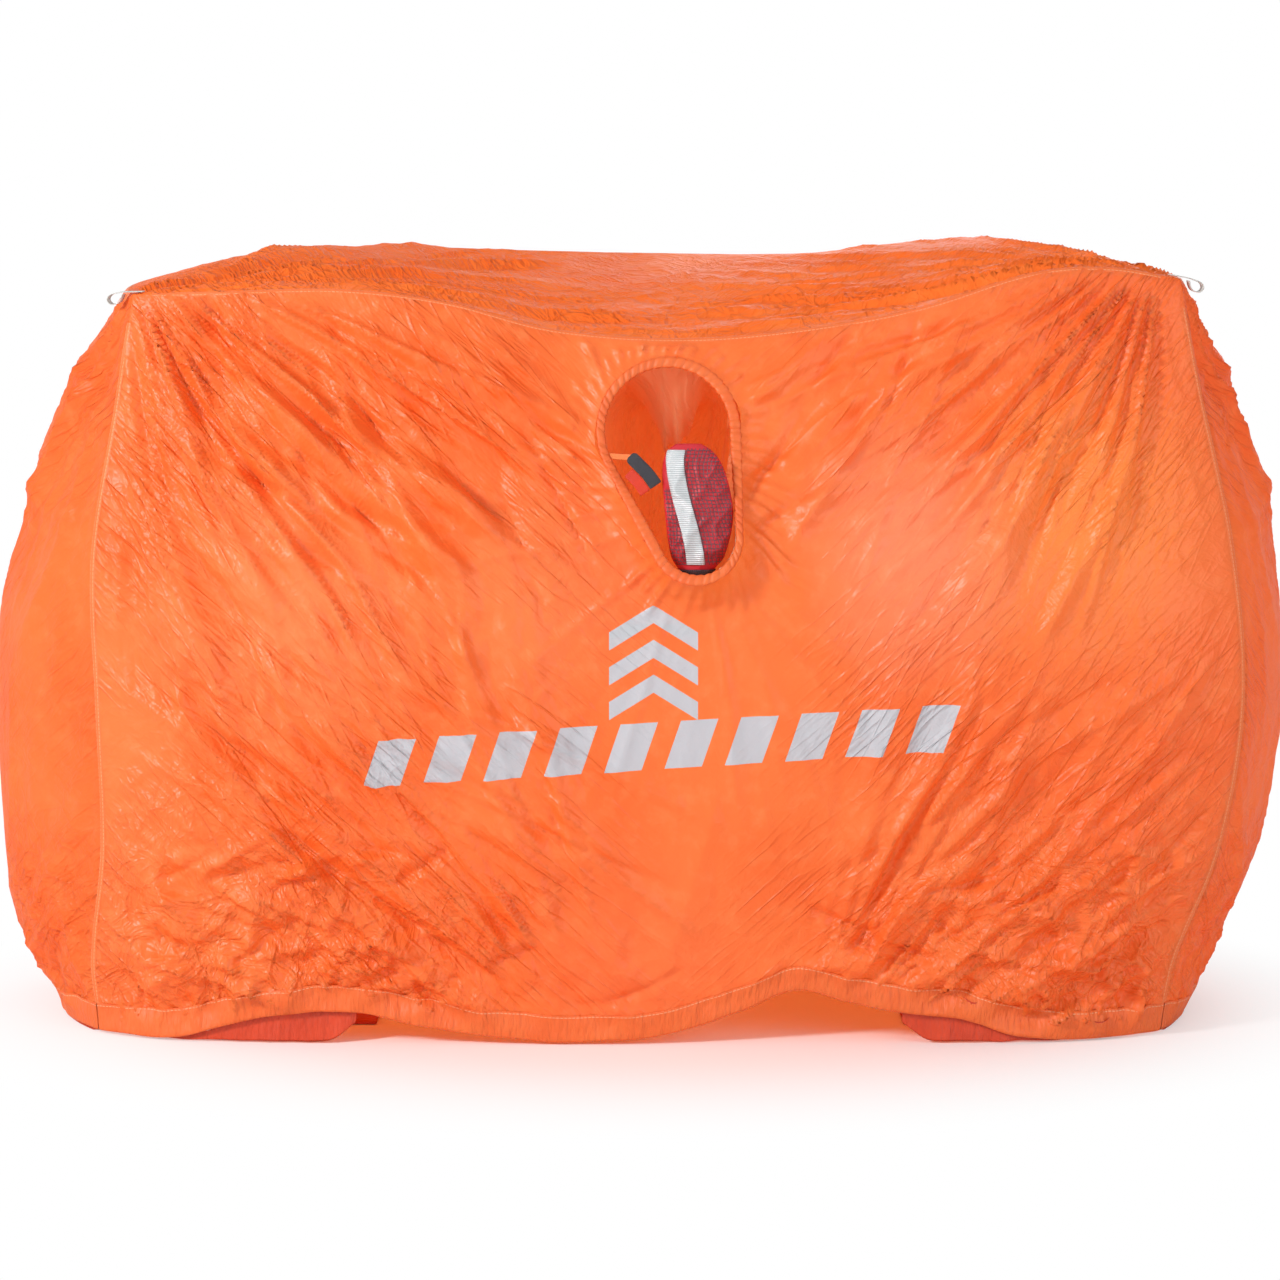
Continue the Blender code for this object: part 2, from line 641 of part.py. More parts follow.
def drawcord(name, ring, casing, parts, hidden):
    """A cord round a casing, with both ends out backwards through a slot and a stopper on them.

    The ring starts at the slot. Returns where the cord lock sits.
    """
    exit_at = ring[0]
    aside = Vector((ring[1].x - exit_at.x, 0, 0)).normalized()
    tail = LOCK_STANDOFF + 2 * LOCK_BARREL_RADIUS + LOCK_SLIDE
    reach = STRAND_SPACING / 2 + CORD_TURN_RADIUS

    def strand(side):
        points = [exit_at + BACKWARDS * tail + aside * (side * STRAND_SPACING / 2)]
        for k in range(CORD_TURN_STEPS):
            angle = math.pi / 2 * k / CORD_TURN_STEPS
            along = reach - CORD_TURN_RADIUS * math.cos(angle)
            behind = CORD_TURN_RADIUS * (1 - math.sin(angle))
            points.append(exit_at + aside * (side * along) + BACKWARDS * behind)
        return points

    middle = [p for p in ring if (p - exit_at).length > reach]
    tube(name, strand(1) + middle + strand(-1)[::-1], CORD_DIAMETER / 2, WHITE_CORD, parts)

    slot_width = 2 * (reach + SLOT_SIDE_ROOM)
    slot = box(name + "_slot_cutter", (slot_width, 2 * SLOT_REACH, SLOT_HEIGHT), WHITE_CORD, hidden)
    slot.location = exit_at + BACKWARDS * (SLOT_REACH - CORD_DIAMETER / 2 - PIECE_GAP)
    cut(casing, slot)

    stopper = cylinder(name + "_stopper", STOPPER_RADIUS, STOPPER_LENGTH, LOCK_PLASTIC, parts)
    stopper.location = exit_at + BACKWARDS * (tail + PIECE_GAP)
    stopper.rotation_euler.x = -math.pi / 2
    return exit_at + BACKWARDS * (LOCK_STANDOFF + LOCK_BARREL_RADIUS)


def cord_lock(name, centre, parts, hidden):
    """Barrel, plunger and spring. The strands run along Y and the plunger is pressed down."""
    hold = bpy.data.objects.new(name + "_axis", None)
    parts.objects.link(hold)
    hold.location = centre

    barrel_foot = -LOCK_BARREL_HEIGHT / 2
    window_width = STRAND_SPACING + CORD_DIAMETER + 2 * EYE_CLEARANCE
    window_height = CORD_DIAMETER + 2 * EYE_CLEARANCE
    plunger_radius = LOCK_BORE_RADIUS - PLUNGER_CLEARANCE
    plunger_foot = -window_height / 2 - PLUNGER_BRIDGE
    plunger_height = LOCK_BARREL_HEIGHT / 2 + PLUNGER_PROUD - plunger_foot
    through = 4 * LOCK_BARREL_RADIUS
    eye_size = (window_width, through, window_height + PLUNGER_TRAVEL)

    barrel = cylinder(name + "_barrel", LOCK_BARREL_RADIUS, LOCK_BARREL_HEIGHT, LOCK_PLASTIC, parts)
    bore = cylinder(name + "_bore_cutter", LOCK_BORE_RADIUS, LOCK_BARREL_HEIGHT, LOCK_PLASTIC, hidden)
    window = box(name + "_window_cutter", (window_width, through, window_height), LOCK_PLASTIC, hidden)
    plunger = cylinder(name + "_plunger", plunger_radius, plunger_height, LOCK_PLASTIC, parts)
    eye = box(name + "_eye_cutter", eye_size, LOCK_PLASTIC, hidden)
    barrel.location.z = barrel_foot
    bore.location.z = barrel_foot + LOCK_FLOOR
    plunger.location.z = plunger_foot
    eye.location.z = PLUNGER_TRAVEL / 2
    cut(barrel, bore)
    cut(barrel, window)
    cut(plunger, eye)

    spring_foot = barrel_foot + LOCK_FLOOR + PIECE_GAP + SPRING_WIRE / 2
    spring_rise = plunger_foot - PIECE_GAP - SPRING_WIRE / 2 - spring_foot
    coil_radius = plunger_radius - SPRING_WIRE
    turns = []
    for k in range(SPRING_STEPS * SPRING_COILS + 1):
        angle = 2 * math.pi * k / SPRING_STEPS
        around = Vector((math.cos(angle), math.sin(angle), 0)) * coil_radius
        rise = spring_rise * k / (SPRING_STEPS * SPRING_COILS)
        turns.append(around + UP * (spring_foot + rise))
    spring = tube(name + "_spring", turns, SPRING_WIRE / 2, SPRING_STEEL, parts, resolution=1)
    for piece in (barrel, bore, window, plunger, eye, spring):
        piece.parent = hold


# Vent: a collar with an elastic rim, and a tunnel hanging inside

def mouth_outline(grow):
    """Evenly spaced points (a, b) round the mouth, relative to its centre and grown outwards."""
    top = Vector((0.0, MOUTH_TOP_OFFSET_Z))
    low = Vector((MOUTH_LOW_OFFSET_X, MOUTH_LOW_OFFSET_Z))
    axis = low - top
    heading = math.atan2(axis.y, axis.x)
    lean = math.acos((MOUTH_TOP_RADIUS - MOUTH_LOW_RADIUS) / axis.length)
    arcs = (
        (top, MOUTH_TOP_RADIUS + grow, heading + lean, 2 * math.pi - 2 * lean),
        (low, MOUTH_LOW_RADIUS + grow, heading - lean, 2 * lean),
    )
    fine = []
    for centre, radius, start, sweep in arcs:
        for k in range(MOUTH_ARC_STEPS + 1):
            angle = start + sweep * k / MOUTH_ARC_STEPS
            fine.append(centre + Vector((math.cos(angle), math.sin(angle))) * radius)
    fine.append(fine[0])
    lengths = [0.0]
    for a, b in zip(fine, fine[1:]):
        lengths.append(lengths[-1] + (b - a).length)
    outline = []
    k = 0
    for i in range(VENT_SIDES):
        wanted = lengths[-1] * i / VENT_SIDES
        while lengths[k + 1] < wanted:
            k += 1
        share = (wanted - lengths[k]) / (lengths[k + 1] - lengths[k])
        outline.append(fine[k].lerp(fine[k + 1], share))
    return outline


def lip_stand(z):
    """How far the rim stands out from the wall at a height: little at the top, most at the bottom."""
    top = VENT_Z + MOUTH_TOP_OFFSET_Z + MOUTH_TOP_RADIUS
    foot = VENT_Z + MOUTH_LOW_OFFSET_Z - MOUTH_LOW_RADIUS
    return LIP_STAND_TOP + (LIP_STAND_LOW - LIP_STAND_TOP) * ((top - z) / (top - foot)) ** 2


def mouth_ring(grow, stand, share):
    """A ring round the mouth: this share of the lip's stand-off from the wall, plus a fixed stand."""
    ring = []
    for a, b in mouth_outline(grow):
        x, z = VENT_X + a, VENT_Z + b
        ring.append(Vector((x, front_y(x, z) - share * lip_stand(z) - stand, z)))
    return ring


def build_collar(front_panel, parts, hidden):
    """The collar through the front wall, its rim curled round the elastic."""
    rows = [
        mouth_ring(0.0, -COLLAR_INSIDE_DEPTH, 0.0),
        mouth_ring(0.0, 0.0, 0.0),
        mouth_ring(0.0, 0.0, 0.5),
        mouth_ring(0.0, -RIM_CURL / 2, 1.0),
        mouth_ring(-RIM_ROUNDING, 0.0, 1.0),
        mouth_ring(RIM_ROUNDING - RIM_CURL, 0.0, 1.0),
        mouth_ring(-RIM_CURL, -RIM_CURL / 2, 1.0),
        mouth_ring(-RIM_CURL, -RIM_CURL, 1.0),
    ]
    cloth("vent_collar", rows, TRIM_THICKNESS, ORANGE_CLOTH, parts, closed=True)
    elastic_depth = TRIM_THICKNESS / 2 + PIECE_GAP + ELASTIC_DIAMETER / 2
    elastic = mouth_ring(-RIM_CURL / 2, -elastic_depth, 1.0)
    tube("vent_rim_elastic", elastic, ELASTIC_DIAMETER / 2, BLACK_ELASTIC, parts, closed=True, resolution=1)

    grow = TRIM_THICKNESS / 2 + PIECE_GAP
    ends = [mouth_ring(grow, VENT_CUT_REACH, 0.0), mouth_ring(grow, -VENT_CUT_REACH, 0.0)]
    hole = add_solid("vent_hole_cutter", sheet(ends, closed=True, caps=(0, 1)), ORANGE_CLOTH, hidden)
    cut(front_panel, hole)


def tunnel_end_point(angle, lift, grow=0.0):
    """A point of the circle at the tunnel's lower end."""
    around = Vector((math.cos(angle), math.sin(angle), 0)) * (TUNNEL_END_RADIUS + grow)
    return TUNNEL_END + around + UP * lift


def build_tunnel(parts):
    """The tunnel from the rim in through the collar, over backwards and down."""
    inner = -(TRIM_THICKNESS + PIECE_GAP)
    start = mouth_ring(inner, -TUNNEL_STRAIGHT, 0.0)
    rows = [mouth_ring(inner, -(RIM_CURL + PIECE_GAP), 1.0), mouth_ring(inner, 0.0, 0.0), start]
    middle = sum(start, Vector()) / len(start)
    for k in range(1, TUNNEL_STEPS + 1):
        s = k / TUNNEL_STEPS
        row = []
        for first in start:
            angle = math.atan2(first.z - middle.z, first.x - middle.x)
            upper = 0.5 + 0.5 * math.sin(angle)
            reach = TUNNEL_REACH_LOW + (TUNNEL_REACH_HIGH - TUNNEL_REACH_LOW) * upper
            last = tunnel_end_point(angle, TUNNEL_END_STRAIGHT)
            pull = first + BACKWARDS * reach
            drop = last + UP * TUNNEL_DROP
            row.append(
                first * (1 - s) ** 3
                + pull * (3 * s * (1 - s) ** 2)
                + drop * (3 * s**2 * (1 - s))
                + last * s**3
            )
        rows.append(row)
    rows.append([point - UP * TUNNEL_END_STRAIGHT for point in rows[-1]])
    cloth("vent_tunnel", rows, TRIM_THICKNESS, ORANGE_CLOTH, parts, closed=True)


def build_tunnel_casing(parts):
    """The casing round the tunnel's end. Returns it and the cord's points, starting at the back."""
    half = CORD_DIAMETER / 2 + CORD_CLEARANCE + TRIM_THICKNESS / 2
    cord_drop = CORD_DIAMETER / 2 + PIECE_GAP
    fold_drop = cord_drop + half
    leaf = TUNNEL_LEAF_HEIGHT
    angles = [math.pi / 2 + 2 * math.pi * k / TUNNEL_CASING_SIDES for k in range(TUNNEL_CASING_SIDES)]
    section = ((-half, leaf), (-half, -fold_drop), (half, -fold_drop), (half, leaf))
    rows = [[tunnel_end_point(angle, lift, grow) for angle in angles] for grow, lift in section]
    casing = cloth("tunnel_casing", rows, TRIM_THICKNESS, ORANGE_CLOTH, parts, closed=True)
    return casing, [tunnel_end_point(angle, -cord_drop) for angle in angles]


# Floor seats and skirts

def build_seat(name, side, hinge_x, grid, parts):
    """A pad at one end, with the binding that joins it to the foot of the end hem. side is -1 or 1."""
    flat = SEAT_BINDING_THICKNESS / 2
    feet = grid[0][1:-1]
    outer = [Vector((foot.x, foot.y, flat)) for foot in feet]
    inner = [Vector((side * hinge_x, foot.y, flat)) for foot in feet]
    cloth(name + "_seat_binding", [outer, inner], SEAT_BINDING_THICKNESS, SEAT_CLOTH, parts)

    hinge = bpy.data.objects.new(name + "_seat_hinge", None)
    parts.objects.link(hinge)
    hinge.location = (side * hinge_x, 0, SEAT_THICKNESS)
    length = hinge_x - SEAT_INNER_X - PIECE_GAP
    pad = box(name + "_seat", (length, 2 * SEAT_HALF_DEPTH, SEAT_THICKNESS), SEAT_CLOTH, parts)
    pad.parent = hinge
    pad.location = (-side * (PIECE_GAP + length / 2), 0, -SEAT_THICKNESS / 2)
    rounding = pad.modifiers.new("rounded edges", "BEVEL")
    rounding.width = SEAT_EDGE_ROUNDING
    rounding.segments = 2


def build_skirt(name, grid, columns, parts):
    """A strip of seat cloth hanging to the ground behind part of the front hem."""
    clear = LEAF_OFFSET + TRIM_THICKNESS + SKIRT_CLEARANCE
    rows = []
    for k in range(columns[0], columns[1] + 1):
        foot, out, up = hem_axes(grid, k)
        inside = foot - out * clear
        rows.append([Vector((inside.x, inside.y, 0)), inside, inside + up * SKIRT_HEIGHT])
    cloth(name, rows, TRIM_THICKNESS, SEAT_CLOTH, parts)


# Stuff sack

def sack_point(angle, s, grow=0.0):
    """A point of the sack's side, at an angle round it from its right edge and a share of the way down."""
    half_width = value_at(SACK_HALF_WIDTH, s) + grow
    half_thick = value_at(SACK_HALF_THICK, s) + grow
    right_share, front_share = math.cos(angle), math.sin(angle)
    aside = math.copysign(abs(right_share) ** SACK_SQUARENESS, right_share) * half_width
    ahead = math.copysign(abs(front_share) ** SACK_SQUARENESS, front_share) * half_thick
    x = VENT_X + value_at(SACK_OFFSET_X, s) + aside
    return Vector((x, SACK_Y - ahead, VENT_Z + SACK_TOP_OFFSET_Z - SACK_LENGTH * s))


def sack_front_point(share, s, grow):
    """A point of the sack's front, at a share of its half width from its centre line."""
    cosine = math.copysign(abs(share) ** (1 / SACK_SQUARENESS), share)
    return sack_point(math.acos(cosine), s, grow)


def strap_edges(s, clearance=0.0):
    """Shares of the sack's half width where the strap ends, with a clearance to either side."""
    half = (STRAP_HALF_WIDTH + clearance) / value_at(SACK_HALF_WIDTH, s)
    centre = value_at(STRAP_CENTRE_SHARE, s)
    return centre - half, centre + half


def sack_patch(name, edges, top, columns, thickness, finish, parts):
    """Cloth lying on the sack's front, between two edges that are functions of the way down."""
    lift = SACK_WALL / 2 + PATCH_CLEARANCE + thickness / 2
    grid = []
    for j in range(PATCH_ROWS + 1):
        s = top + (PATCH_FOOT - top) * j / PATCH_ROWS
        low, high = edges(s)
        grid.append([sack_front_point(low + (high - low) * i / columns, s, lift) for i in range(columns + 1)])
    cloth(name, grid, thickness, finish, parts)


def build_sack(parts):
    angles = [2 * math.pi * k / SACK_SIDES for k in range(SACK_SIDES)]
    rows = [[sack_point(angle, s) for angle in angles] for s in SACK_ROWS]
    cloth("sack_body", rows, SACK_WALL, SACK_RED, parts, closed=True, caps=(len(rows) - 1,))

    def right_of_strap(s):
        return strap_edges(s, PATCH_CLEARANCE)[1], PATCH_EDGE_SHARE

    def left_of_strap(s):
        return -PATCH_EDGE_SHARE, strap_edges(s, PATCH_CLEARANCE)[0]

    for name, edges, top, columns, thickness, finish in (
        ("sack_mesh_panel", right_of_strap, PATCH_TOP, MESH_COLUMNS, PATCH_THICKNESS, SACK_MESH),
        ("sack_side_mesh", left_of_strap, SIDE_MESH_TOP, SIDE_MESH_COLUMNS, PATCH_THICKNESS, SACK_MESH),
        ("sack_strap", strap_edges, PATCH_TOP, STRAP_COLUMNS, STRAP_THICKNESS, REFLECTIVE),
    ):
        sack_patch(name, edges, top, columns, thickness, finish, parts)

    half = SACK_WALL / 2 + SACK_BINDING_CLEARANCE + TRIM_THICKNESS / 2
    leaf = SACK_BINDING_HEIGHT / SACK_LENGTH
    fold = (SACK_BINDING_CLEARANCE + TRIM_THICKNESS / 2) / SACK_LENGTH
    section = ((-half, 1 - leaf), (-half, 1 + fold), (half, 1 + fold), (half, 1 - leaf))
    rows = [[sack_point(angle, s, grow) for angle in angles] for grow, s in section]
    cloth("sack_mouth_binding", rows, TRIM_THICKNESS, SACK_MESH, parts, closed=True)


def build_label(parts):
    """Two strips side by side, and behind them the tape that ties the sack to the vent's rim."""
    step_aside = LABEL_HALF_WIDTH + LABEL_BAND_HALF_WIDTH + PIECE_GAP
    dark, red = [], []
    for k, (x, z) in enumerate(LABEL_ROUTE):
        before = LABEL_ROUTE[max(k - 1, 0)]
        after = LABEL_ROUTE[min(k + 1, len(LABEL_ROUTE) - 1)]
        run = Vector((after[0] - before[0], 0, after[1] - before[1])).normalized()
        aside = Vector((run.z, 0, -run.x))
        centre = Vector((VENT_X + x, LABEL_Y, VENT_Z + z))
        beside = centre + aside * step_aside
        dark.append([centre - aside * LABEL_HALF_WIDTH, centre + aside * LABEL_HALF_WIDTH])
        red.append([beside - aside * LABEL_BAND_HALF_WIDTH, beside + aside * LABEL_BAND_HALF_WIDTH])
    cloth("sack_label", dark, LABEL_THICKNESS, CHARCOAL, parts)
    cloth("sack_label_band", red[1:], LABEL_THICKNESS, LABEL_RED, parts)

    rim_radius = MOUTH_TOP_RADIUS - RIM_CURL - TRIM_THICKNESS / 2 - TETHER_CLEARANCE
    below = MOUTH_TOP_OFFSET_Z - TETHER_OFFSET_Z + TETHER_HALF_WIDTH
    tether_z = VENT_Z + TETHER_OFFSET_Z
    start_x = VENT_X - math.sqrt(rim_radius**2 - below**2)
    start_y = front_y(start_x, tether_z) - lip_stand(tether_z) + RIM_CURL / 2
    end_y = LABEL_Y + LABEL_THICKNESS / 2 + PIECE_GAP + TETHER_THICKNESS / 2
    start = Vector((start_x, start_y, tether_z))
    end = Vector((VENT_X + TETHER_END_OFFSET_X, end_y, tether_z))
    side = UP * TETHER_HALF_WIDTH
    middle = start.lerp(end, 0.5) + BACKWARDS * TETHER_SAG
    rows = [[point - side, point + side] for point in (start, middle, end)]
    cloth("sack_tether", rows, TETHER_THICKNESS, ORANGE_TAPE, parts)


# Corner loops

def build_corner_loops(roof_grid, parts):
    corners = {"front_left": (0, 0), "front_right": (0, -1), "back_left": (-1, 0), "back_right": (-1, -1)}
    for name, (i, j) in corners.items():
        corner = roof_grid[i][j]
        out = (corner - roof_grid[i][1 if j == 0 else -2]).normalized()
        across = (roof_grid[1 if i == 0 else -2][j] - corner).normalized()
        normal = out.cross(across).normalized()
        normal = normal if normal.z > 0 else -normal
        side = out.cross(normal) * (LOOP_WIDTH / 2)
        base = corner + across * LOOP_INSET + normal * (CLOTH_THICKNESS / 2 + PIECE_GAP + LOOP_THICKNESS / 2)
        rows = []
        for a, b in [(-LOOP_TAB, 0.0)] + LOOP_PROFILE:
            point = base + out * a + normal * b
            rows.append([point - side, point + side])
        cloth(name + "_corner_loop", rows, LOOP_THICKNESS, LOOP_WEBBING, parts)


def main():
    clear_scene()
    parts = make_collection("bothy_bag")
    hidden = make_collection("cutters")

    grids = make_grids()
    panels = {
        name: cloth(name + "_panel", seam_allowance(grid), CLOTH_THICKNESS, ORANGE_CLOTH, parts)
        for name, grid in grids.items()
    }
    build_seam_tapes(grids, parts)

    walls = ("front", "right_end", "back", "left_end")
    hems = {name: build_hem(name + "_hem", grids[name], parts) for name in walls}
    back_hem, back_cord = hems["back"]
    middle = WALL_COLUMNS // 2
    ring = (
        back_cord[middle:0:-1]
        + hems["left_end"][1][:0:-1]
        + hems["front"][1][:-1]
        + hems["right_end"][1][:-1]
        + back_cord[:middle:-1]
    )
    lock_at = drawcord("hem_drawcord", ring, back_hem, parts, hidden)
    cord_lock("hem_cord_lock", lock_at, parts, hidden)

    build_collar(panels["front"], parts, hidden)
    build_tunnel(parts)
    casing, ring = build_tunnel_casing(parts)
    lock_at = drawcord("tunnel_drawcord", ring, casing, parts, hidden)
    cord_lock("tunnel_cord_lock", lock_at, parts, hidden)

    build_seat("left", -1, LEFT_SEAT_HINGE_X, grids["left_end"], parts)
    build_seat("right", 1, RIGHT_SEAT_HINGE_X, grids["right_end"], parts)
    build_skirt("left_draught_skirt", grids["front"], LEFT_SKIRT_COLUMNS, parts)
    build_skirt("right_draught_skirt", grids["front"], RIGHT_SKIRT_COLUMNS, parts)

    build_sack(parts)
    build_label(parts)
    build_corner_loops(grids["roof"], parts)


main()
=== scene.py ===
# Bothy bag for two: the looks of the orange shelter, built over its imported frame.
# Metres, +Z up, the front wall with the vent towards -Y.
import math

import bpy
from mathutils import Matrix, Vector, noise


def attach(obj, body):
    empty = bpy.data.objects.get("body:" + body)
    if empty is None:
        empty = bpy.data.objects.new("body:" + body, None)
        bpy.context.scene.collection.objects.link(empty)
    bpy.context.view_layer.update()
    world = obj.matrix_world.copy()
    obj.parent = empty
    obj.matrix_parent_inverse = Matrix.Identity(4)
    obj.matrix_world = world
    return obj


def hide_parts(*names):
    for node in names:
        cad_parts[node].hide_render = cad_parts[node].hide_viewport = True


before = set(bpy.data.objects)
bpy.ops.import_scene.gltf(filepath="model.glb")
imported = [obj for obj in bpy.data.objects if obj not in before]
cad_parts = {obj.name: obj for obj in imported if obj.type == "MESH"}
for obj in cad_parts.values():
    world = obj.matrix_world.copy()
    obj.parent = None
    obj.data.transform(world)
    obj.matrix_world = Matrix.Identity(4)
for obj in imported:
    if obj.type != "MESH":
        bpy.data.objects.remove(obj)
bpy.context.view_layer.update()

bpy.ops.object.select_all(action="DESELECT")


def hexColour(code):
    # sRGB hex to the linear values that the shaders want
    parts = [int(code[i:i + 2], 16) / 255 for i in (1, 3, 5)]
    return (*[p / 12.92 if p <= 0.04045 else ((p + 0.055) / 1.055) ** 2.4 for p in parts], 1.0)


def addNode(tree, kind, settings=(), **sockets):
    # one node with its settings; a socket, by name or number, takes a value, a node or one output of a node
    node = tree.nodes.new("ShaderNode" + kind)
    for key, value in dict(settings).items():
        setattr(node, key, value)
    for key, value in sockets.items():
        socket = node.inputs[int(key[1:]) if key[1:].isdigit() else key.replace("_", " ")]
        if isinstance(value, bpy.types.Node):
            value = value.outputs[0]
        if isinstance(value, bpy.types.NodeSocket):
            tree.links.new(value, socket)
        else:
            socket.default_value = value
    return node


def newMaterial(name):
    made = bpy.data.materials.new(name)
    made.use_nodes = True
    made.node_tree.nodes.clear()
    return made, made.node_tree


def clamp(value, low=0.0, high=1.0):
    return min(max(value, low), high)


def smooth(low, high, value):
    s = clamp((value - low) / (high - low))
    return s * s * (3 - 2 * s)


def along(stations, place):
    # a smooth curve through (place, value) stations
    last = len(stations) - 1
    k = 0
    while k < last - 1 and place > stations[k + 1][0]:
        k += 1

    def slope(i):
        before, after = stations[max(i - 1, 0)], stations[min(i + 1, last)]
        return (after[1] - before[1]) / (after[0] - before[0])

    (placeA, valueA), (placeB, valueB) = stations[k], stations[k + 1]
    width = placeB - placeA
    s = (place - placeA) / width
    return (valueA * (2 * s**3 - 3 * s**2 + 1) + slope(k) * width * (s**3 - 2 * s**2 + s)
            + valueB * (3 * s**2 - 2 * s**3) + slope(k + 1) * width * (s**3 - s**2))


def meshObject(name, points, faces, flatAt):
    # flatAt gives the place on the flat cloth of one point of a face, in metres
    mesh = bpy.data.meshes.new(name)
    mesh.from_pydata([tuple(p) for p in points], [], faces)
    mesh.update()
    layer = mesh.uv_layers.new(name="flatCloth")
    for face in mesh.polygons:
        for k in face.loop_indices:
            layer.data[k].uv = flatAt(face, mesh.loops[k].vertex_index)
    mesh.shade_smooth()
    piece = bpy.data.objects.new(name, mesh)
    bpy.context.scene.collection.objects.link(piece)
    return piece


def useModifier(piece, kind, **settings):
    step = piece.modifiers.new(kind.lower(), kind)
    for key, value in settings.items():
        setattr(step, key, value)


def aimedAt(thing, place, aim):
    thing.location = place
    thing.rotation_euler = (Vector(aim) - Vector(place)).to_track_quat("-Z", "Y").to_euler()
    bpy.context.scene.collection.objects.link(thing)


# Camera, floor and light.
view = {"place": (0, -4.177, 0.840), "aim": (0, 0, 0.401), "lens": 106.07, "sensor": 36}
studio = {
    "floorSize": 14.0, "floorColours": ("#FBFAF9", "#FFFFFF"), "worldColour": "#F1F2F4", "worldLevel": 0.55,
    "shadowReach": (0.33, 0.70), "shadowShape": (0.82, 1.0, 1.0),  # past it the floor runs out to white
    "lamps": {  # name: place, aim, size, watts
        "keyLamp": ((-2.7, -2.5, 1.9), (0, 0, 0.40), 0.6, 110),
        "fillLamp": ((2.8, -3.2, 1.2), (0.1, 0, 0.4), 2.2, 46),
        "backLamp": ((0.9, 2.6, 1.5), (0.1, 0, 0.4), 1.8, 24),
    },
}

camera = bpy.data.objects.new("camera", bpy.data.cameras.new("camera"))
camera.data.lens = view["lens"]
camera.data.sensor_width = view["sensor"]
aimedAt(camera, view["place"], view["aim"])
bpy.context.scene.camera = camera
bpy.context.scene.view_settings.view_transform = "Standard"

world = bpy.data.worlds.new("paleStudio")
bpy.context.scene.world = world
world.use_nodes = True
tree = world.node_tree
tree.nodes.clear()
skyLight = addNode(tree, "Background", Color=hexColour(studio["worldColour"]), Strength=studio["worldLevel"])
skySeen = addNode(tree, "Background", Color=(1, 1, 1, 1), Strength=1.0)
rays = addNode(tree, "LightPath").outputs  # the camera, mirrors and glass see plain white
seen = addNode(tree, "Math", {"operation": "MAXIMUM"}, i0=rays["Is Camera Ray"], i1=rays["Is Glossy Ray"])
seen = addNode(tree, "Math", {"operation": "MAXIMUM"}, i0=seen, i1=rays["Is Transmission Ray"])
addNode(tree, "OutputWorld", Surface=addNode(tree, "MixShader", i0=seen, i1=skyLight, i2=skySeen))

bpy.ops.mesh.primitive_plane_add(size=studio["floorSize"], location=(0, 0, 0))
floor = bpy.context.object
floor.name = "floor"
floorPaper, tree = newMaterial("palePaperFloor")  # matt paper: a faint grain, no shine
ground = addNode(tree, "TexCoord").outputs["Object"]
grain = addNode(tree, "TexNoise", i0=ground, Scale=900.0, Detail=2.0)
tones = [hexColour(code) for code in studio["floorColours"]]
tint = addNode(tree, "MixRGB", i0=grain, i1=tones[0], i2=tones[1])
paper = addNode(tree, "BsdfPrincipled", Base_Color=tint, Roughness=0.95)
white = addNode(tree, "Emission", Color=(1, 1, 1, 1), Strength=1.0)
away = addNode(tree, "VectorMath", {"operation": "LENGTH"},
               i0=addNode(tree, "Mapping", i0=ground, Scale=studio["shadowShape"])).outputs["Value"]
fade = addNode(tree, "MapRange", {"interpolation_type": "SMOOTHSTEP"}, i0=away,
               i1=studio["shadowReach"][0], i2=studio["shadowReach"][1])
seen = addNode(tree, "MixShader", i0=fade, i1=paper, i2=white)
rays = addNode(tree, "LightPath").outputs["Is Camera Ray"]
addNode(tree, "OutputMaterial", Surface=addNode(tree, "MixShader", i0=rays, i1=paper, i2=seen))
floor.data.materials.append(floorPaper)
floor.select_set(False)

for name, (place, aim, size, watts) in studio["lamps"].items():
    lamp = bpy.data.objects.new(name, bpy.data.lights.new(name, "AREA"))
    lamp.data.size = size
    lamp.data.energy = watts
    aimedAt(lamp, place, aim)
print("stage: camera, floor and lamps")

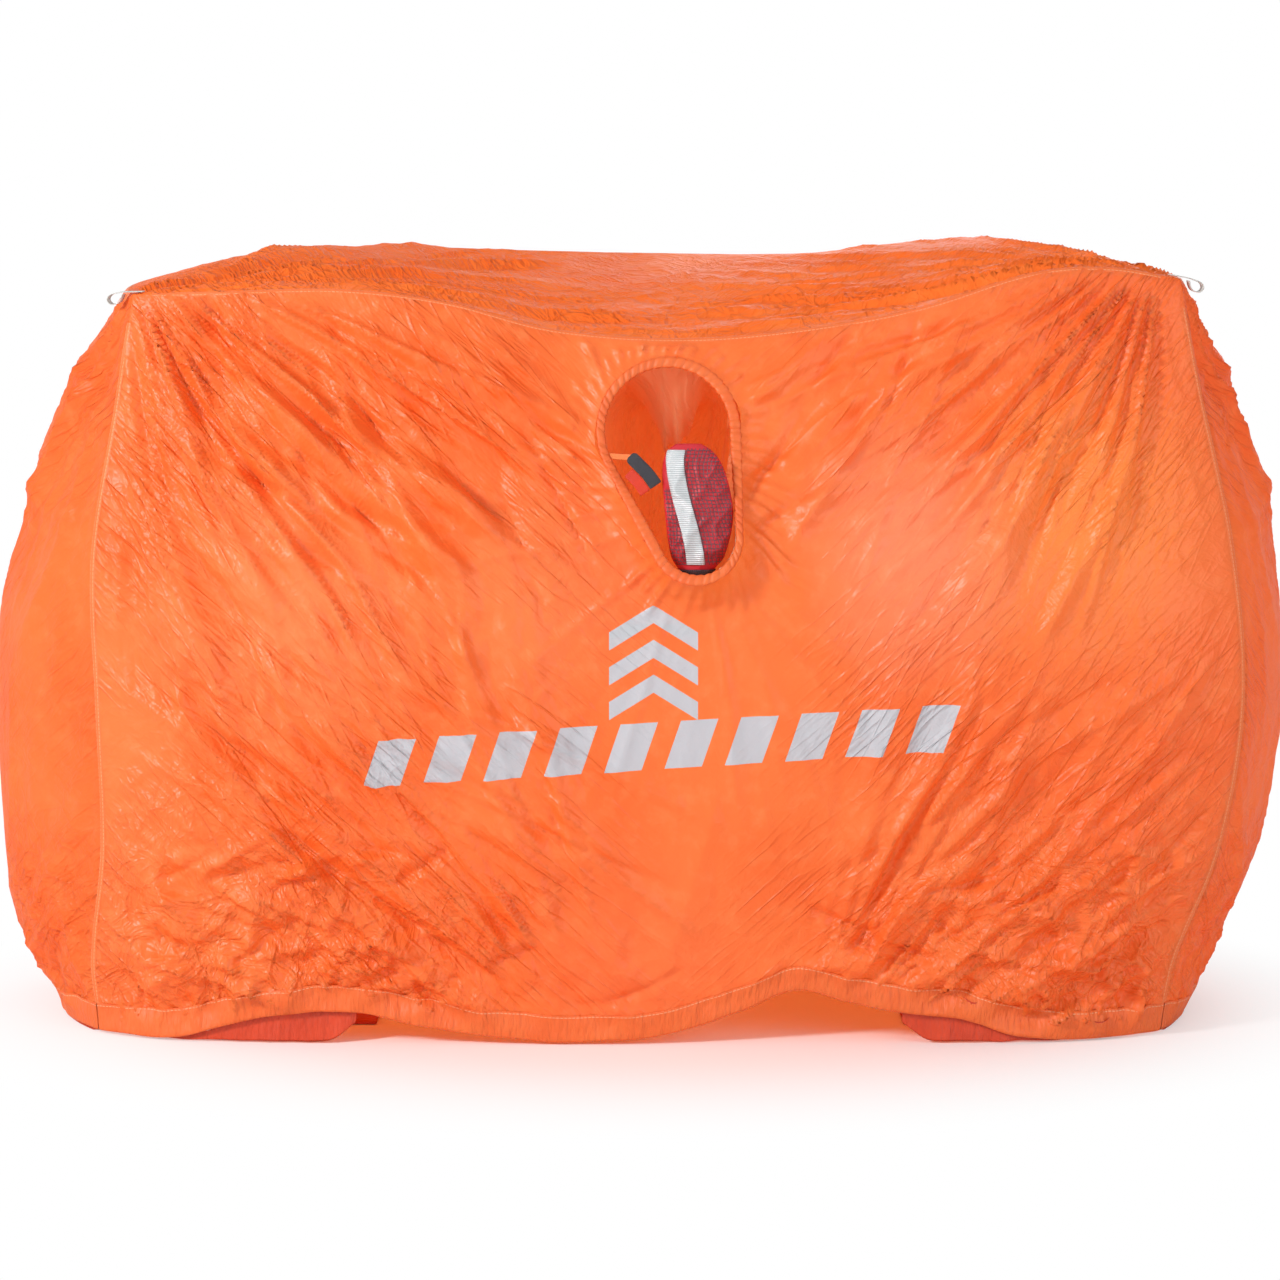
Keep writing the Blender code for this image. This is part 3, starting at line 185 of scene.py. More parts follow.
# The bag's own shape: each line is a curve of (share of the way along or up, metres).
bag = {
    "leftEndX": [(0, -.640), (.1, -.684), (.25, -.707), (.45, -.709), (.65, -.681), (.85, -.634), (1, -.556)],
    "rightEndX": [(0, .602), (.1, .642), (.25, .690), (.45, .709), (.65, .692), (.85, .640), (1, .582)],
    "leftSeamX": [(0, -.578), (.1, -.583), (.25, -.568), (.45, -.570), (.65, -.573), (.85, -.548), (1, -.530)],
    "rightSeamX": [(0, .556), (.1, .570), (.25, .612), (.45, .634), (.65, .620), (.85, .586), (1, .564)],
    "seamDepth": [(0, .205), (.3, .240), (.6, .245), (1, .226)],
    "frontBulge": [(0, .062), (.25, .052), (.5, .050), (.75, .044), (1, .018)],
    "backBulge": [(0, .072), (.25, .078), (.5, .084), (.75, .070), (1, .022)],
    "frontRoofZ": [(0, .788), (.1, .791), (.2, .793), (.3, .780), (.4, .752), (.52, .742),
                   (.64, .752), (.75, .774), (.86, .811), (.93, .816), (1, .804)],
    "backRoofZ": [(0, .806), (.1, .832), (.3, .834), (.5, .830), (.66, .830), (.8, .844), (.9, .832), (1, .806)],
    "frontHemRise": [(0, 0), (.08, .002), (.15, .024), (.24, .032), (.31, .016), (.38, .005), (.45, 0),
                     (.53, .007), (.6, .032), (.655, .056), (.7, .044), (.76, .030), (.81, .024),
                     (.86, .005), (.92, 0), (1, 0)],
    "backHemRise": [(0, 0), (.16, 0), (.26, .012), (.34, 0), (.40, .003), (.45, .013), (.46, .013),
                    (.54, .013), (.55, .013), (.60, .003), (.66, 0), (.75, .016), (.85, 0), (1, 0)],
    "hemLift": 0.0049,
    "wallTurn": 7.0, "endTurn": 2.4,  # how tightly a wall turns in to its corner seams
    # where a wall or the roof swells: its middle, half widths, how far
    "frontSwells": [(-.34, .42, .20, .15, .016), (.33, .45, .22, .13, .020), (-.02, .22, .22, .16, .010)],
    "backSwells": [(-.30, .40, .22, .20, .014), (.32, .42, .22, .20, .014), (0, .45, .14, .25, -.014)],
    "crowns": [(-.40, .060, .150, .012), (.37, .070, .160, .013)],  # rises of the roof: middle, radius, height
    "frontFolds": [  # both ends (x, z), half width, depth inwards
        ((-.475, .775), (-.425, .600), .022, .013), ((-.380, .760), (-.240, .520), .024, .010),
        ((-.300, .770), (-.085, .590), .022, -.011), ((-.290, .715), (-.090, .545), .024, .010),
        ((-.620, .440), (-.330, .330), .026, .010), ((-.560, .300), (-.110, .060), .030, -.011),
        ((-.480, .350), (-.060, .120), .028, .010), ((.430, .790), (.180, .530), .022, .010),
        ((.350, .770), (.160, .590), .022, -.009), ((.540, .330), (.180, .110), .030, .011),
        ((.470, .160), (.250, .060), .026, -.009),
    ],
}

vent = {
    "x": .029, "z": .605,
    "topOffsetZ": .043, "topRadius": .074, "lowOffsetX": .0295, "lowOffsetZ": -.064, "lowRadius": .048,
    "standTop": .008, "standLow": .040,  # how far the rim stands out from the wall
    "flareTop": .022, "flareLow": .055,  # how wide the cloth runs up to the rim
}


def swell(x, z, places):
    return sum(push * math.exp(-((x - cx) / hx) ** 2 - ((z - cz) / hz) ** 2) for cx, cz, hx, hz, push in places)


def mainFolds(x, z):
    depth = 0.0
    for (xA, zA), (xB, zB), halfWidth, deep in bag["frontFolds"]:
        runX, runZ = xB - xA, zB - zA
        length = math.hypot(runX, runZ)
        share = clamp(((x - xA) * runX + (z - zA) * runZ) / length**2)
        aside = ((x - xA) * runZ - (z - zA) * runX) / length
        depth += deep * math.sin(math.pi * share) ** 0.7 * math.exp(-((aside / halfWidth) ** 2))
    return depth


def edgeFade(u, t, powerU, powerT):
    # 1 inside a wall and 0 along its four seams
    return (1 - abs(2 * u - 1) ** powerU) * (1 - abs(2 * t - 1) ** powerT)


def ventFade(x, z):
    # 0 round the vent and 1 away from it
    reach = vent["topRadius"] + vent["topOffsetZ"]
    return clamp(2 * (math.hypot(x - vent["x"], z - vent["z"]) - reach) / reach)


def longWall(u, t, hem, top, bulge):
    left, right = along(bag["leftSeamX"], t), along(bag["rightSeamX"], t)
    low, high = bag["hemLift"] + along(bag[hem], u), along(bag[top], u)
    out = along(bag["seamDepth"], t) + along(bag[bulge], t) * (1 - abs(2 * u - 1) ** bag["wallTurn"])
    return Vector((left + (right - left) * u, out, low + (high - low) * t))


def frontPoint(u, t):
    p = longWall(u, t, "frontHemRise", "frontRoofZ", "frontBulge")
    shape = swell(p.x, p.z, bag["frontSwells"]) - ventFade(p.x, p.z) * mainFolds(p.x, p.z)
    p.y = -p.y - edgeFade(u, t, 8, 10) * shape
    return p


def backPoint(u, t):
    p = longWall(u, t, "backHemRise", "backRoofZ", "backBulge")
    p.y += edgeFade(u, t, 8, 10) * swell(p.x, p.z, bag["backSwells"])
    return p


def endPoint(side, v, t):
    seam = along(bag[("leftSeamX", "rightSeamX")[side]], t)
    reach = along(bag[("leftEndX", "rightEndX")[side]], t)
    low = bag["hemLift"] + along(bag["frontHemRise"], side) * (1 - v) + along(bag["backHemRise"], side) * v
    high = along(bag["frontRoofZ"], side) * (1 - v) + along(bag["backRoofZ"], side) * v
    x = seam + (reach - seam) * (1 - abs(2 * v - 1) ** bag["endTurn"])
    return Vector((x, along(bag["seamDepth"], t) * (2 * v - 1), low + (high - low) * t))


def roofPoint(u, v):
    p = frontPoint(u, 1) * (1 - v) + backPoint(u, 1) * v + endPoint(0, v, 1) * (1 - u) + endPoint(1, v, 1) * u
    p -= (frontPoint(0, 1) * (1 - u) + frontPoint(1, 1) * u) * (1 - v)
    p -= (backPoint(0, 1) * (1 - u) + backPoint(1, 1) * u) * v
    for cx, cy, radius, rise in bag["crowns"]:
        p.z += edgeFade(u, v, 6, 4) * rise * math.exp(-((p.x - cx) ** 2 + (p.y - cy) ** 2) / radius**2)
    return p


def wallShares(x, z):
    # the front wall's u and t at a place seen square on
    u, t = 0.5, 0.5
    for _ in range(10):
        left, right = along(bag["leftSeamX"], t), along(bag["rightSeamX"], t)
        u = (x - left) / (right - left)
        low = bag["hemLift"] + along(bag["frontHemRise"], u)
        t = (z - low) / (along(bag["frontRoofZ"], u) - low)
    return u, t


def mouthOutline(count, grow=0.0):
    # even points round the vent's mouth: a large circle at the top drawn together with a small one
    top = Vector((vent["x"], vent["z"] + vent["topOffsetZ"]))
    low = Vector((vent["x"] + vent["lowOffsetX"], vent["z"] + vent["lowOffsetZ"]))
    axis = low - top
    heading = math.atan2(axis.y, axis.x)
    lean = math.acos((vent["topRadius"] - vent["lowRadius"]) / axis.length)
    fine = []
    for centre, radius, start, sweep in (
        (top, vent["topRadius"] + grow, heading + lean, 2 * math.pi - 2 * lean),
        (low, vent["lowRadius"] + grow, heading - lean, 2 * lean),
    ):
        for k in range(121):
            angle = start + sweep * k / 120
            fine.append(centre + Vector((math.cos(angle), math.sin(angle))) * radius)
    fine.append(fine[0])
    lengths = [0.0]
    for a, b in zip(fine, fine[1:]):
        lengths.append(lengths[-1] + (b - a).length)
    outline, k = [], 0
    for i in range(count):
        wanted = lengths[-1] * i / count
        while lengths[k + 1] < wanted:
            k += 1
        outline.append(fine[k].lerp(fine[k + 1], (wanted - lengths[k]) / (lengths[k + 1] - lengths[k])))
    return outline


def lipShare(z):
    # 0 at the top of the mouth and 1 at its foot
    top = vent["z"] + vent["topOffsetZ"] + vent["topRadius"]
    foot = vent["z"] + vent["lowOffsetZ"] - vent["lowRadius"]
    return clamp((top - z) / (top - foot))


def lipStand(z):
    return vent["standTop"] + (vent["standLow"] - vent["standTop"]) * lipShare(z) ** 2


# Creases of thin packed cloth.
# A fan is a set of creases that spread from one point: where it is, its range of angles in degrees
# (0 to the right, 90 up), how far out it starts and ends, creases per radian, depth, seed.
fans = {
    "front": [
        ((-.560, .860), (-88, -18), (.03, .66), 7.5, .017, 3.1),
        ((.545, .850), (-164, -92), (.04, .52), 7.0, .014, 7.7),
        ((.060, .545), (-200, 20), (.06, .40), 5.0, .0035, 12.3),
        ((.010, -.080), (100, 174), (.20, .74), 8.5, .013, 21.9),
        ((.150, -.070), (8, 78), (.15, .64), 7.0, .013, 33.4),
    ],
    "back": [
        ((-.545, .870), (-88, -22), (.03, .62), 7.0, .016, 41.2),
        ((.560, .870), (-158, -92), (.04, .62), 7.0, .016, 47.7),
        ((.000, -.090), (14, 80), (.14, .66), 7.0, .013, 53.1),
        ((-.020, -.090), (100, 166), (.14, .66), 7.0, .013, 59.5),
    ],
    "end": [
        ((-.250, .870), (-90, -14), (.03, .70), 4.4, .010, 61.8),
        ((.250, .870), (-166, -90), (.03, .70), 4.4, .010, 67.3),
        ((.000, -.090), (30, 150), (.12, .60), 4.0, .008, 73.6),
    ],
    "roof": [
        ((-.60, -.30), (4, 70), (.06, .90), 6.5, .011, 81.4),
        ((.62, -.28), (110, 176), (.06, .80), 6.5, .010, 87.9),
    ],
}
# Single creases on the front, from one end (x, z) to the other: half width, height (inwards below 0).
strokes = [
    ((-.455, .815), (-.428, .660), .012, -.010), ((-.402, .790), (-.338, .540), .013, .007),
    ((-.330, .790), (-.255, .600), .011, -.007), ((-.247, .768), (-.020, .612), .011, .009),
    ((-.310, .735), (-.060, .560), .014, -.007), ((-.480, .700), (-.330, .500), .013, .006),
    ((-.500, .560), (-.300, .420), .016, .006), ((-.422, .371), (-.041, .062), .014, .009),
    ((-.470, .300), (-.110, .040), .014, -.007), ((-.360, .400), (-.080, .180), .016, .005),
    ((-.540, .240), (-.260, .060), .013, .007), ((.412, .773), (.237, .590), .012, .009),
    ((.237, .590), (.120, .560), .010, .005), ((.330, .770), (.190, .620), .012, -.007),
    ((.500, .740), (.360, .560), .014, .007), ((.540, .330), (.200, .090), .015, .009),
    ((.560, .240), (.300, .060), .013, -.007), ((.330, .200), (.190, .040), .013, .006),
    ((-.130, .560), (-.040, .470), .010, .005), ((.110, .510), (.230, .400), .013, .005),
    ((-.090, .330), (-.005, .050), .018, .005), ((.090, .300), (.020, .050), .018, .004),
]
crumple = {"frontReach": .24, "otherReach": .26, "width": .046, "depth": .014, "endShare": .608, "endMiddle": .12,
           "calmX": .04, "calmReach": (.10, .42), "endCalm": (.03, .15), "endWaves": .008, "endWaveSize": (.16, .15)}
# Scattered small creases: the range of x and of z that they start in, of angles in degrees and of lengths,
# how many, half width, height.
scatter = [
    ((-.53, -.08), (.60, .785), (-72, -28), (.12, .30), 54, .0062, .0068),
    ((-.57, -.30), (.34, .62), (-62, -22), (.10, .26), 34, .0070, .0058),
    ((-.56, -.12), (.12, .42), (-54, -22), (.12, .32), 40, .0065, .0060),
    ((.16, .54), (.60, .785), (-152, -104), (.10, .26), 36, .0065, .0058),
    ((.30, .60), (.12, .42), (-158, -116), (.10, .28), 32, .0065, .0056),
    ((-.56, -.26), (.04, .22), (-40, 50), (.04, .11), 44, .0055, .0064),
    ((.24, .56), (.04, .20), (-220, -130), (.04, .11), 36, .0055, .0060),
    ((-.30, .30), (.03, .10), (-30, 30), (.04, .10), 14, .0060, .0040),
    ((-.10, .22), (.05, .40), (-110, -70), (.08, .20), 8, .0090, .0020),
]
cellSize = 0.05  # the front is searched for creases in squares of this size


def ridge(a, b, seed):
    # 1 along thin lines and near 0 between them
    return (1 - min(1.0, abs(noise.noise((a, b, seed))) * 2.2)) ** 2


def strokeCreases(x, z):
    height = 0.0
    for stroke in strokesNear.get((math.floor(x / cellSize), math.floor(z / cellSize)), ()):
        (xA, zA), (xB, zB), halfWidth, high = stroke
        runX, runZ = xB - xA, zB - zA
        long = runX * runX + runZ * runZ
        share = ((x - xA) * runX + (z - zA) * runZ) / long
        if -0.15 < share < 1.15:
            aside = abs((x - xA) * runZ - (z - zA) * runX) / math.sqrt(long)
            if aside < 4 * halfWidth:
                ends = smooth(-0.15, 0.25, share) * (1 - smooth(0.75, 1.15, share))
                height += high * ends * math.exp(-((aside / halfWidth) ** 1.25))
    return height


def scatterStrokes():
    noise.seed_set(41)
    found = []
    for xs, zs, angles, lengths, count, halfWidth, high in scatter:
        for _ in range(count):
            x, z, angle, length = (low + (up - low) * noise.random() for low, up in (xs, zs, angles, lengths))
            turn = math.radians(angle)
            way = 1 if noise.random() > 0.42 else -1
            found.append(((x, z), (x + length * math.cos(turn), z + length * math.sin(turn)),
                          halfWidth * (0.7 + 0.6 * noise.random()), way * high * (0.6 + 0.8 * noise.random())))
    for (x, z), (xOut, zOut) in ventPuckers():
        found.append(((x, z), (xOut, zOut), .0034 + .002 * noise.random(), .0062 * (0.6 + 0.8 * noise.random())))
    return found


def ventPuckers():
    # short creases that run out from the gathered rim
    inside, outside = mouthOutline(52, -.004), mouthOutline(52, .030)
    pairs = []
    for a, b in zip(inside, outside):
        reach = 0.6 + 1.3 * noise.random()
        pairs.append(((a.x, a.y), (a.x + (b.x - a.x) * reach, a.y + (b.y - a.y) * reach)))
    return pairs


def strokeCells(found):
    # which strokes come near each square of the wall
    cells = {}
    for stroke in found:
        (xA, zA), (xB, zB), halfWidth, high = stroke
        steps = max(2, int(math.hypot(xB - xA, zB - zA) / (cellSize / 5)) + 2)
        seen = set()
        for k in range(steps + 1):
            share = -0.15 + 1.3 * k / steps
            x, z = xA + (xB - xA) * share, zA + (zB - zA) * share
            for dx in (-5 * halfWidth, 0, 5 * halfWidth):
                for dz in (-5 * halfWidth, 0, 5 * halfWidth):
                    seen.add((math.floor((x + dx) / cellSize), math.floor((z + dz) / cellSize)))
        for cell in seen:
            cells.setdefault(cell, []).append(stroke)
    return cells


def fanCreases(a, b, wall):
    total = 0.0
    for (cx, cz), (angleA, angleB), (near, far), count, depth, seed in fans[wall]:
        dx, dz = a - cx, b - cz
        r = math.hypot(dx, dz)
        if not near < r < far:
            continue
        angle = math.degrees(math.atan2(dz, dx))
        if angleA < -180 and angle > 90:
            angle -= 360
        inside = smooth(angleA - 8, angleA + 10, angle) * (1 - smooth(angleB - 10, angleB + 8, angle))
        if inside <= 0:
            continue
        inside *= smooth(near, near + 0.06, r) * (1 - smooth(far * 0.6, far, r))
        lines = math.radians(angle) + 0.05 * noise.noise((dx * 6, dz * 6, seed))
        value = ridge(lines * count, r * 1.6, seed) - 0.33
        value += 0.42 * (ridge(lines * count * 2.1, r * 3.2, seed + 5) - 0.33)
        value += 0.20 * (ridge(lines * count * 4.6, r * 7.0, seed + 11) - 0.33)
        total += depth * inside * value
    return total


def crumples(a, b, reach, seed):
    # packed creases with no direction, strongest near the hem
    fade = 1 - smooth(0.02, reach, b)
    size = crumple["width"]
    warp = 0.8 * noise.noise((a / size * 0.4, b / size * 0.4, seed + 9))
    value = ridge(a / size + warp, b / size * 0.8 - warp, seed) - 0.35
    value += 0.5 * (ridge(a / size * 2.2, b / size * 2 - warp, seed + 3) - 0.35)
    return crumple["depth"] * (0.10 + 0.90 * fade) * value


strokesNear = strokeCells(strokes + scatterStrokes())


def creaseAt(wall, a, b):
    # how far the cloth stands out of its smooth shape
    if wall == "front":
        patchy = 0.15 + 1.05 * smooth(*crumple["calmReach"], abs(a - crumple["calmX"]))  # calm in the middle
        return (fanCreases(a, b, "front") + strokeCreases(a, b)
                + patchy * crumples(a, b, crumple["frontReach"], 2.5))
    if wall == "back":
        return fanCreases(a, b, "back") + crumples(a, b, crumple["otherReach"], 4.5)
    if wall == "roof":
        return fanCreases(a, b, "roof") + crumples(a, 0.6, crumple["otherReach"], 6.5 + b * 9)
    # the middle of an end is drawn tight, so its outline is calm
    seed = 8.5 if wall == "left" else 10.5
    calm = crumple["endMiddle"] + (1 - crumple["endMiddle"]) * smooth(*crumple["endCalm"], abs(a))
    sizeA, sizeB = crumple["endWaveSize"]
    waves = crumple["endWaves"] * noise.noise((a / sizeA, b / sizeB, seed + 20))
    folds = fanCreases(a, b, "end") + crumple["endShare"] * crumples(a, b, crumple["otherReach"], seed)
    return calm * folds + waves


# One continuous shell: four walls, the roof and the cloth that runs up to the vent.
shell = {
    "spacing": 0.0080, "length": 1.17, "depth": 0.49, "height": 0.79, "hemBand": 0.028, "hemRows": 4,
    "ventRings": 11, "window": (-.098, .168, .452, .738),  # part of the front wall that is laid out round the vent
    "calmBySeam": (-0.004, 0.030), "calmByRim": 0.55, "rimLoose": 0.35,  # where the creases fade out
}


def upPlaces():
    # the rows' places up a wall: the hem's own rows, then even ones
    band = shell["hemBand"] / bag["frontRoofZ"][0][1]
    rows = round(shell["height"] / shell["spacing"])
    return [band * k / shell["hemRows"] for k in range(shell["hemRows"])] + [
        band + (1 - band) * k / rows for k in range(rows + 1)]


def makeShell():
    # the points and their walls, the faces and theirs, each wall's grid, the vent's rings, the walls' flat places
    ups = upPlaces()
    columns, depths = round(shell["length"] / shell["spacing"]), round(shell["depth"] / shell["spacing"])
    layouts = {  # wall: columns, places of its rows, point function, the wall's own two coordinates
        "front": (columns, ups, frontPoint, lambda p: (p.x, p.z)),
        "back": (columns, ups, backPoint, lambda p: (p.x, p.z)),
        "left": (depths, ups, lambda v, t: endPoint(0, v, t), lambda p: (p.y, p.z)),
        "right": (depths, ups, lambda v, t: endPoint(1, v, t), lambda p: (p.y, p.z)),
        "roof": (columns, [k / depths for k in range(depths + 1)], roofPoint, lambda p: (p.x, p.y)),
    }
    points, walls, index = [], [], {}
    shared = {}  # seam points, found again by their rounded place

    def addPoint(p, wall):
        key = (round(p.x, 5), round(p.y, 5), round(p.z, 5))
        if key not in shared:
            shared[key] = len(points)
            points.append(p)
            walls.append(wall)
        return shared[key]

    for wall, (across, rows, place, _) in layouts.items():
        index[wall] = [[addPoint(place(c / across, t), wall) for c in range(across + 1)] for t in rows]

    faces, owner = [], []
    xLow, xHigh, zLow, zHigh = shell["window"]
    cells = set()
    for wall, grid in index.items():
        for r in range(len(grid) - 1):
            for c in range(len(grid[0]) - 1):
                quad = [grid[r][c], grid[r][c + 1], grid[r + 1][c + 1], grid[r + 1][c]]
                middle = sum((points[k] for k in quad), Vector()) / 4
                if wall == "front" and xLow < middle.x < xHigh and zLow < middle.z < zHigh:
                    cells.add((r, c))
                    continue
                faces.append(quad if wall in ("front", "roof", "right") else quad[::-1])
                owner.append(wall)

    # the window's edge, once round, and the mouth's outline from the nearest point on, the same way round
    rLow, rHigh = min(r for r, c in cells), max(r for r, c in cells) + 1
    cLow, cHigh = min(c for r, c in cells), max(c for r, c in cells) + 1
    edge = [(rLow, c) for c in range(cLow, cHigh)] + [(r, cHigh) for r in range(rLow, rHigh)]
    edge += [(rHigh, c) for c in range(cHigh, cLow, -1)] + [(r, cLow) for r in range(rHigh, rLow, -1)]
    count = len(edge)
    mouth = mouthOutline(count)

    def turn(x, z):
        return math.atan2(z - vent["z"], x - vent["x"])

    corner = points[index["front"][rLow][cLow]]
    first = min(range(count), key=lambda i: abs(turn(*mouth[i]) - turn(corner.x, corner.z)))
    area = sum(a.x * b.y - b.x * a.y for a, b in zip(mouth, mouth[1:] + mouth[:1]))
    step = 1 if area > 0 else -1
    mouth = [mouth[(first + step * i) % count] for i in range(count)]

    # rings of points from the window's edge to the mouth, where the cloth runs out to the rim
    rings = [[index["front"][r][c] for r, c in edge]]
    shares = [wallShares(m.x, m.y) for m in mouth]
    for k in range(1, shell["ventRings"] + 1):
        s = (k / shell["ventRings"]) ** 0.8
        ring = []
        for (r, c), m, (uMouth, tMouth) in zip(edge, mouth, shares):
            uEdge, tEdge = c / columns, ups[r]
            p = frontPoint(uEdge + (uMouth - uEdge) * s, tEdge + (tMouth - tEdge) * s)
            reach = vent["flareTop"] + (vent["flareLow"] - vent["flareTop"]) * lipShare(m.y)
            p.y -= lipStand(m.y) * clamp(1 - math.hypot(p.x - m.x, p.z - m.y) / reach) ** 2.4
            ring.append(len(points))
            points.append(p)
            walls.append("front")
        rings.append(ring)
    for a, b in zip(rings, rings[1:]):
        for i in range(count):
            j = (i + 1) % count
            faces.append([a[i], a[j], b[j], b[i]])
            owner.append("front")

    # the points inside the window have no face, so they go
    kept = {k: n for n, k in enumerate(sorted({k for face in faces for k in face}))}
    points, walls = [points[k] for k in kept], [walls[k] for k in kept]
    faces = [[kept[k] for k in face] for face in faces]
    index = {wall: [[kept.get(k) for k in row] for row in grid] for wall, grid in index.items()}
    rings = [[kept[k] for k in ring] for ring in rings]
    flats = {wall: layout[3] for wall, layout in layouts.items()}
    return points, walls, faces, owner, index, rings, flats


# Coated nylon: the colours of each cloth made of it, and what is printed and pressed into the front.
nylon = {
    "roughness": (0.31, 0.48),
    # colour, its deeper and its paler shade, share of light let through, gloss, colour of that light
    "cloths": {
        "coatedNylonTaffeta": ("#F57F3C", "#F06A28", "#FC9A5A", 0.40, 0.28, "#FF9148"),
        "printedNylonTaffeta": ("#F57F3C", "#F06A28", "#FC9A5A", 0.34, 0.42, "#FF9148"),
        # painted shade: the roof is the walls' nylon drawn a more saturated orange, against the pale sheen it takes
        # at grazing light
        "roofTaffetaPaintedDeeper": ("#FF7C34", "#FA6C26", "#FF924A", 0.14, 0.03, "#FF9148"),
        # painted light: the tunnel is the same orange nylon as the shell, drawn pale peach so that its inside looks
        # lit
        "tunnelNylonPaintedLight": ("#FFC898", "#FFB884", "#FFD8B4", 0.72, 0.28, "#FFE6C4"),
    },
    "paintedLightPatches": [  # painted light: paler patches where more light comes through the front: place, radius, colour, share
        ((.46, .56), .17, "#FF9A48", .75), ((.28, .53), .15, "#FFA27A", .55), ((-.36, .46), .16, "#FF9C62", .40),
        ((-.10, .48), .14, "#FF9A60", .30), ((.02, .08), .16, "#FF9058", .30),
    ],
    # sets of long fine creases: turn in degrees, the side of the wall they are on, share
    "creaseSets": [(-41, (.10, -.12), 1.0), (-58, (.02, -.30), .8), (43, (-.02, .20), .9), (61, (.10, .34), .7)],
    "creaseSpacing": (1 / 7.0, 1 / 62.0),  # metres along and across a set
    "nets": [(.028, .16, .9), (.009, .22, .4)],  # crumples: size of a cell in metres, width of its ridges, height
    "inkColour": "#B2B6BB",
    "bars": {"centre": (.022, .323), "halfCount": 4.81, "halfHeight": .0245, "rise": .06, "pitch": .0625,
             "lean": .35, "start": .19, "inked": .62},
    "chevrons": {"centre": (.014, .432), "half": .046, "pitch": .036, "slope": .62, "inked": .52},
}
times, timesPlus, minus = {"operation": "MULTIPLY"}, {"operation": "MULTIPLY_ADD"}, {"operation": "SUBTRACT"}
over, below, fraction = {"operation": "DIVIDE"}, {"operation": "LESS_THAN"}, {"operation": "FRACT"}
unsigned, most, sine = {"operation": "ABSOLUTE"}, {"operation": "MAXIMUM"}, {"operation": "SINE"}
flat = {"noise_dimensions": "2D"}
cellEdges = {"feature": "DISTANCE_TO_EDGE", "voronoi_dimensions": "2D"}


def clothPlace(tree):
    # a place on the flat cloth, and its two coordinates, in metres
    place = addNode(tree, "UVMap", {"uv_map": "flatCloth"}).outputs[0]
    parts = addNode(tree, "SeparateXYZ", i0=place)
    return place, parts.outputs[0], parts.outputs[1]


def reflectivePrint(tree, across, up):
    # where the plain bars and chevrons of reflective ink lie: 1 on the ink, 0 off it
    bars, marks = nylon["bars"], nylon["chevrons"]
    x = addNode(tree, "Math", minus, i0=across, i1=bars["centre"][0])
    z = addNode(tree, "Math", minus, i0=addNode(tree, "Math", minus, i0=up, i1=bars["centre"][1]),
                i1=addNode(tree, "Math", times, i0=x, i1=bars["rise"]))
    turn = addNode(tree, "Math", over, i0=addNode(tree, "Math", timesPlus, i0=z, i1=-bars["lean"], i2=x),
                   i1=bars["pitch"])
    # ten slanted bars: the first starts and the last ends on a slanted edge
    phase = addNode(tree, "Math", fraction, i0=addNode(tree, "Math", minus, i0=turn, i1=bars["start"]))
    limits = [[(phase, bars["inked"]), (addNode(tree, "Math", unsigned, i0=z), bars["halfHeight"]),
               (addNode(tree, "Math", unsigned, i0=turn), bars["halfCount"])]]
    x = addNode(tree, "Math", unsigned, i0=addNode(tree, "Math", minus, i0=across, i1=marks["centre"][0]))
    z = addNode(tree, "Math", timesPlus, i0=x, i1=marks["slope"],
                i2=addNode(tree, "Math", minus, i0=up, i1=marks["centre"][1]))
    phase = addNode(tree, "Math", fraction, i0=addNode(tree, "Math", timesPlus, i0=z, i1=1 / marks["pitch"], i2=0.5))
    limits.append([(phase, marks["inked"]), (x, marks["half"]),
                   (addNode(tree, "Math", unsigned, i0=z), marks["pitch"] * 1.5)])
    shapes = []
    for shape in limits:
        ink = 1.0
        for value, limit in shape:
            ink = addNode(tree, "Math", times, i0=addNode(tree, "Math", below, i0=value, i1=limit), i1=ink)
        shapes.append(ink)
    return addNode(tree, "Math", most, i0=shapes[0], i1=shapes[1])


